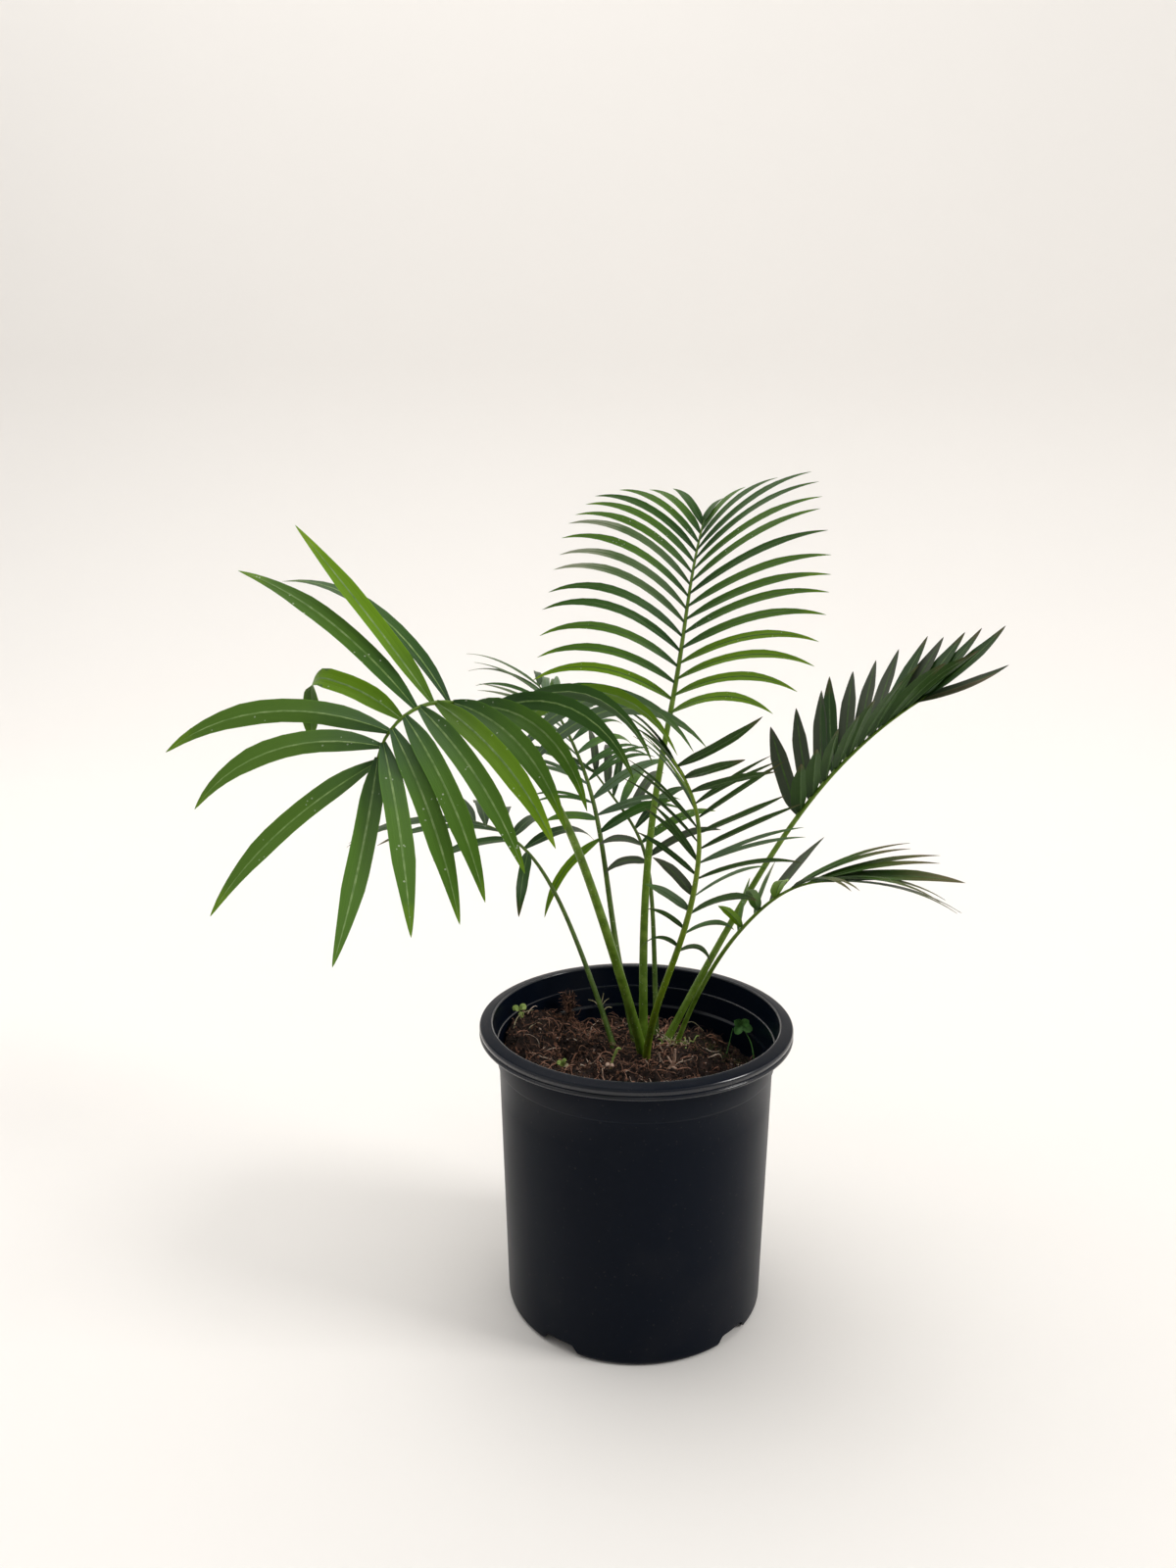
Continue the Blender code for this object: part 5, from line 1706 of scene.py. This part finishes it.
    def fibre(self, start: Vector, heading: float, rise: float, length: float, radius: float,
              wander: float, tone: int, dice: Random, steps: int = 6,
              loft: float = 0.0035) -> Rail:
        """Lays one fibre along the soil, arching over it.

        Args:
            start: where it starts.
            heading: its first direction, from +X.
            rise: how steeply it starts.
            length: its length.
            radius: half its thickness.
            wander: how strongly it winds.
            tone: its material.
            dice: draws its windings.
            steps: its number of straight runs.
            loft: how far over the soil it stays stiff.

        Returns:
            Its path.
        """
        rail = Rail(tone)
        point = start.copy()
        for step in range(steps + 1):
            share = step / steps
            along = Vector((cos(heading) * cos(rise), sin(heading) * cos(rise), sin(rise)))
            aside = Vector((-sin(heading), cos(heading), 0.0))
            size = radius * (0.35 + 0.65 * sin(pi * (0.15 + 0.8 * share)))
            rail.add(point.copy(), aside, along.cross(aside), size, size, 0.0, share)
            point = point + along * (length / steps)
            heading += dice.uniform(-wander, wander)
            rise += dice.uniform(-wander, wander) * 0.6
            reach = hypot(point.x, point.y)
            if reach > self.fibre_reach:
                point.x, point.y = (c * self.fibre_reach / reach for c in (point.x, point.y))
            floor = self.height(point.x, point.y) - 0.0006
            if point.z < floor:
                point.z, rise = floor + 0.0003, abs(rise) * 0.5
            elif point.z > floor + loft:
                rise -= 0.5
        return rail

    def build_fibres(self) -> Object:
        """Strews the fibres, with a shaggy clump and a mossy patch.

        Returns:
            The piece.
        """
        dice = Random(self.seed)
        rails = []
        deal = (0, 0, 0, 1, 1, 1, 1, 2, 2, 2)
        for _ in range(self.fibres):
            radius = 0.0695 * sqrt(dice.random())
            angle = dice.uniform(0.0, 2.0 * pi)
            x, y = radius * cos(angle), radius * sin(angle)
            start = Vector((x, y, self.height(x, y) + dice.uniform(-0.0006, 0.0008)))
            long = dice.random() ** 2
            tone = 3 if dice.random() < 0.05 else dice.choice(deal)
            if x > self.damp_side and dice.random() < 0.6:
                tone = 0
            rails.append(self.fibre(
                start, dice.uniform(0.0, TURN), dice.uniform(-0.1, 0.7), 0.004 + 0.013 * long,
                0.00014 + 0.00028 * dice.random() ** 2, 0.55, tone, dice))
        rails += self.clump(dice) + self.moss(dice)
        sweep = Sweep(Section.THREAD, len(FIBRES), sided=False)
        return sweep.make("soil_fibres", rails, [finish.make() for finish in FIBRES], 70.0)

    def clump(self, dice: Random) -> list[Rail]:
        """Stands a shaggy tuft of coir against the pot's wall.

        Args:
            dice: draws its fibres.

        Returns:
            The fibres' paths.
        """
        rails = []
        for _ in range(320):
            up = dice.random()
            x, y = dice.gauss(-0.0385, 0.0026 - 0.0012 * up), dice.gauss(0.051, 0.0024)
            start = Vector((x, y, self.height(x, y) - 0.001 + 0.019 * up))
            rails.append(self.fibre(
                start, dice.uniform(0.0, TURN), dice.uniform(-0.6, 1.4), dice.uniform(0.002, 0.006),
                dice.uniform(0.00013, 0.00036), 0.6, dice.choice((0, 0, 1, 1, 2)), dice, 4, 0.024))
        return rails

    def moss(self, dice: Random) -> list[Rail]:
        """Grows a thin green fuzz on the right of the bed.

        Args:
            dice: draws its threads.

        Returns:
            The threads' paths.
        """
        rails = []
        for _ in range(260):
            x, y = dice.gauss(0.047, 0.009), dice.gauss(0.02, 0.009)
            if hypot(x, y) > 0.068:
                continue
            start = Vector((x, y, self.height(x, y)))
            rails.append(self.fibre(
                start, dice.uniform(0.0, TURN), dice.uniform(0.4, 1.3), dice.uniform(0.0015, 0.004),
                0.0001, 0.6, 4, dice, 3))
        return rails

    def build(self) -> None:
        bed = self.build_bed()
        crumbs = self.build_crumbs(bed)
        bed.data.materials.append(SOIL_BASE.make())
        settle(bed, 180.0)
        present(bed, "soil", "soil_mix")
        present(crumbs, "soil", "soil_mix")
        present(self.build_fibres(), "soil", "soil_mix")


@dataclass(frozen=True)
class Wisp:
    """One thin stem, rootlet or seed leaf that stands on the soil, measured in millimetres."""

    look: GrainFinish
    start: float  # half its width at the foot
    end: float  # and at its end
    places: tuple[Place, ...]  # that it passes through, foot first
    full: float = 0.0  # half its width in a leaf's middle
    facing: Place = (0.0, -0.6, 0.8)
    thickness: float = 0.32  # of a leaf
    steps: int = 10

    def rail(self, tone: int) -> Rail:
        """Prepares its path.

        Args:
            tone: which of the piece's materials it takes.

        Returns:
            The path.
        """
        rail = Rail(tone)
        knots = [Vector(place) * MM for place in self.places]
        for step in range(self.steps + 1):
            share = step / self.steps
            place = share * (len(knots) - 1)
            ahead = smooth_at(knots, min(place + 0.05, len(knots) - 1))
            course = (ahead - smooth_at(knots, max(place - 0.05, 0.0))).normalized()
            across = course.cross(Vector(self.facing)).normalized()
            half = self.start + (self.end - self.start) * share
            half = MM * (half + self.full * sin(pi * share) ** 0.7)
            rail.add(smooth_at(knots, place), across, across.cross(course), half,
                     self.thickness * MM if self.full else half, 0.25 if self.full else 0.0, share)
        return rail


@dataclass
class Seedlings:
    """What has sprouted or dried on the soil: a sprout, a clover, rootlets and dead sprigs."""

    bed: Soil
    clover_place: Place = (59.0, 32.5, 139.2)  # in millimetres
    clover_lobe: float = 6.2  # length of each of its leaves
    clover_turns: Run = (-2.5, -0.75, 0.65, 1.95)
    crown_place: tuple[float, float] = (0.0215, 0.0205)  # where two stalks leave the soil
    crown_bits: int = 44
    seed: int = 4

    def stems(self) -> list[Wisp]:
        """Lists the round stems and rootlets.

        Returns:
            The wisps.
        """
        straw, green, pink, clover = SPROUT_STEM, SPROUT_GREEN, ROOTLET_PINK, CLOVER_GREEN
        stems = (
            (green, 0.45, 0.7, (-12.9, -9, 131), (-11.9, -9, 136), (-10.4, -9.1, 140.5)),
            (green, 0.8, 0.4, (-10.4, -9.1, 140), (-9.2, -9, 142.8), (-7.4, -9, 142.4)),
            (pink, 1.3, 0.55, (18, -8.8, 131), (20.4, -8, 136), (20.9, -7.6, 142.5)),
            (pink, 0.8, 0.45, (20, -8.4, 133.5), (18.4, -8.4, 136), (17, -8.2, 138.5)),
            (pink, 0.85, 0.4, (19, -8.6, 133), (21.4, -10, 132.5), (23.2, -10.4, 130.5)),
            (straw, 0.3, 0.22, (-60.6, 11.9, 138), (-58.5, 16, 142), (-54, 23, 142.5),
             (-50.5, 30, 137)),
            (straw, 0.32, 0.2, (-66.8, 11, 140), (-65.5, 16, 146.5), (-62.5, 23, 148),
             (-57, 29, 147.5)),
            (straw, 0.25, 0.18, (-63.2, 23, 143), (-64, 22.8, 147), (-63.8, 22.6, 150)),
            (DRIED, 0.42, 0.28, (-19, 60, 126), (-20.5, 63, 134), (-19, 66, 143)),
            (DRIED, 0.36, 0.24, (-20.2, 63.2, 134), (-24, 63.5, 138.5), (-27.8, 63, 140)),
            (DRIED, 0.4, 0.24, (-20.4, 62.5, 132), (-16.8, 64, 135), (-14, 65, 134.5)),
            (DRIED, 0.34, 0.22, (-20, 64, 136), (-18, 65, 138.5), (-15.8, 65.5, 140)),
            (DRIED, 0.34, 0.24, (-4, 66, 129), (-3.5, 66.8, 140), (-5.2, 67.2, 148),
             (-6.8, 66.8, 145)),
            (straw, 0.26, 0.18, (24, 48, 129), (32, 50, 133), (39, 48, 128.5)),
            (clover, 0.32, 0.28, (65.5, 21, 123), (64, 27, 131), self.clover_place),
            (clover, 0.26, 0.16, (51, 30, 123), (53, 33, 130), (54.5, 35, 136)),
        )
        return [Wisp(look, start, end, places) for look, start, end, *places in stems]

    def leaves(self) -> list[Wisp]:
        """Lists the flat seed leaves and the clover's leaves.

        Returns:
            The wisps.
        """
        green, pink = SPROUT_GREEN, ROOTLET_PINK
        leaves = (
            (green, 1.6, (-64, 22.6, 149.5), (-66.2, 22.2, 151.2), (-67.6, 21.8, 150)),
            (green, 1.7, (-63.8, 22.6, 150), (-62.2, 22.4, 152), (-60.4, 22, 150.5)),
            (green, 1.4, (-63.9, 22.6, 149), (-63, 21.6, 147.8), (-62.2, 20.8, 146.2)),
            (green, 1.3, (-38.4, -4.6, 130), (-40, -5, 132.2), (-41.8, -5.2, 131.8)),
            (green, 1.3, (-38.1, -4.6, 130), (-37.6, -5, 133), (-36.4, -5.4, 134.2)),
            (SPROUT_STEM, 1.1, (-37.9, -4.8, 130), (-36.6, -6.2, 131.4), (-35.2, -7, 131)),
            (pink, 0.9, (-13.5, -9.5, 132.2), (-12.4, -10.4, 134), (-11.2, -11.2, 133.6)),
            (pink, 0.8, (-13.2, -9, 133), (-14.4, -9.6, 134.2), (-15.6, -10.2, 133.4)),
        )
        found = [Wisp(look, 0.2, 0.1, places, full) for look, full, *places in leaves]
        x, y, z = self.clover_place
        reach = self.clover_lobe
        for turn in self.clover_turns:
            aside, up = reach * sin(turn), reach * cos(turn)
            places = (self.clover_place, (x + 0.55 * aside, y - 2.0, z + 0.45 * up), (
                x + aside, y - 3.0, z + 0.8 * up))
            found.append(Wisp(CLOVER_GREEN, 0.3, 0.4, places, 2.1, (-0.1, -0.9, 0.42)))
        return found

    def crown(self) -> list[Wisp]:
        """Lists the scales at the foot of the two right-hand stalks.

        Returns:
            The wisps.
        """
        dice = Random(self.seed)
        found = []
        for _ in range(self.crown_bits):
            x = self.crown_place[0] + dice.gauss(0.0, 0.005)
            y = self.crown_place[1] - 0.002 + dice.gauss(0.0, 0.0025)
            turn, long = dice.uniform(0.0, 2.0 * pi), dice.uniform(0.001, 0.0024)
            foot = Vector((x, y, self.bed.height(x, y) + 0.0004))
            over = foot + Vector((cos(turn), sin(turn), 1.1)) * long
            end = over + Vector((cos(turn), sin(turn), -0.2)) * long
            look = dice.choice((SPROUT_GREEN, SPROUT_GREEN, SPROUT_STEM, ROOTLET_PINK))
            found.append(Wisp(look, 0.3, 0.18, [place / MM for place in (foot, over, end)]))
        return found

    def build(self) -> None:
        looks = (SPROUT_STEM, SPROUT_GREEN, ROOTLET_PINK, DRIED, CLOVER_GREEN)
        materials = [look.make() for look in looks]
        for name, section, wisps in (
                ("soil_sprout_stems", Section.STALK, self.stems() + self.crown()),
                ("soil_sprout_leaves", Section.SHEET, self.leaves())):
            sweep = Sweep(section, len(looks), sided=False)
            rails = [wisp.rail(looks.index(wisp.look)) for wisp in wisps]
            present(sweep.make(name, rails, materials, 60.0), "soil", "soil_mix")


@dataclass
class Studio:
    """The pale sweep of paper, the soft lights and the camera."""

    camera_place: Place = (0.0, -0.573, 0.402)
    camera_pitch: float = 0.2055  # radians below level
    camera_yaw: float = 0.044  # radians to the left
    lens: float = 26.476  # millimetres
    sensor: float = 36.0  # millimetres, the picture's long side
    sweep_front: float = -2.6
    sweep_back: float = 1.3
    sweep_radius: float = 0.8
    sweep_top: float = 3.2
    sweep_half: float = 3.6
    room_front: float = 0.22  # the room's light from behind the camera
    room_back: float = 0.85  # and from beyond the plant
    lamp_colour: Colour = (1.0, 0.985, 0.96)
    lamps: tuple = (  # name, place, the point that it faces, side and watts
        ("key", (7.0, -1.5, 4.8), (0.0, 0.0, 0.12), 2.6, 325.0),
        ("top", (-0.7, 0.5, 3.4), (-0.3, 0.4, 0.2), 3.6, 41.0),
        ("back", (-0.7, 1.0, 3.0), (-0.5, 2.1, 1.4), 2.6, 22.0))

    def build_sweep(self) -> None:
        """Makes the floor that curves up into the backdrop."""
        profile = [(self.sweep_front, 0.0), (0.0, 0.0), (self.sweep_back, 0.0)]
        for k in range(1, 17):
            angle = pi / 2 * k / 16
            profile.append((self.sweep_back + self.sweep_radius * sin(angle), self.sweep_radius * (
                1.0 - cos(angle))))
        profile.append((self.sweep_back + self.sweep_radius, self.sweep_top))
        bm = bmesh.new()
        rows = [
            [bm.verts.new((x, y, z)) for y, z in profile] for x in (-self.sweep_half, self.sweep_half)]
        for k in range(len(profile) - 1):
            bm.faces.new((rows[0][k], rows[1][k], rows[1][k + 1], rows[0][k + 1]))
        floor = shaped("studio_sweep", bm)
        floor.data.materials.append(StudioFinish().make())
        floor.data.shade_smooth()

    def build_lamps(self) -> None:
        """Hangs the soft square lights."""
        for name, place, aim, size, power in self.lamps:
            light = bpy.data.lights.new(name, "AREA")
            light.size, light.energy, light.color = size, power, self.lamp_colour
            lamp = linked(name, light)
            lamp.location = place
            lamp.rotation_euler = (Vector(aim) - Vector(place)).to_track_quat("-Z", "Y").to_euler()

    def build_world(self) -> None:
        """Lights the room, more from beyond the plant than from behind the camera."""
        world = bpy.data.worlds.new("studio")
        world.use_nodes = True
        sky = Graph(world.node_tree)
        ahead = sky.add("ShaderNodeSeparateXYZ", {
            "Vector": sky.out("ShaderNodeTexCoord", output="Generated")}).outputs["Y"]
        light = sky.out("ShaderNodeMapRange", {
            "Value": ahead, "From Min": -1.0, "From Max": 0.6, "To Min": self.room_front,
            "To Max": self.room_back})
        back = sky.out("ShaderNodeBackground", {"Color": (1.0, 0.985, 0.97, 1.0), "Strength": light})
        sky.add("ShaderNodeOutputWorld", {"Surface": back})
        bpy.context.scene.world = world

    def build_camera(self) -> None:
        """Sets the camera at the photograph's viewpoint."""
        lens = bpy.data.cameras.new("photo_view")
        lens.lens, lens.sensor_width, lens.sensor_fit = self.lens, self.sensor, "AUTO"
        lens.clip_start = 0.01
        camera = linked("photo_view", lens)
        camera.location = self.camera_place
        camera.rotation_euler = (pi / 2 - self.camera_pitch, 0.0, self.camera_yaw)
        bpy.context.scene.camera = camera
        bpy.context.scene.view_settings.view_transform = "Standard"

    def build(self) -> None:
        """Makes the sweep, the lights, the world and the camera."""
        self.build_sweep()
        self.build_lamps()
        self.build_world()
        self.build_camera()


def main() -> None:
    """Builds every part in order."""
    logging.basicConfig(level=logging.INFO, format="%(name)s: %(message)s")
    Studio().build()
    soil = Soil()
    for part in (Pot(), soil, Seedlings(soil), Crown()):
        part.build()


if __name__ == "__main__":
    main()
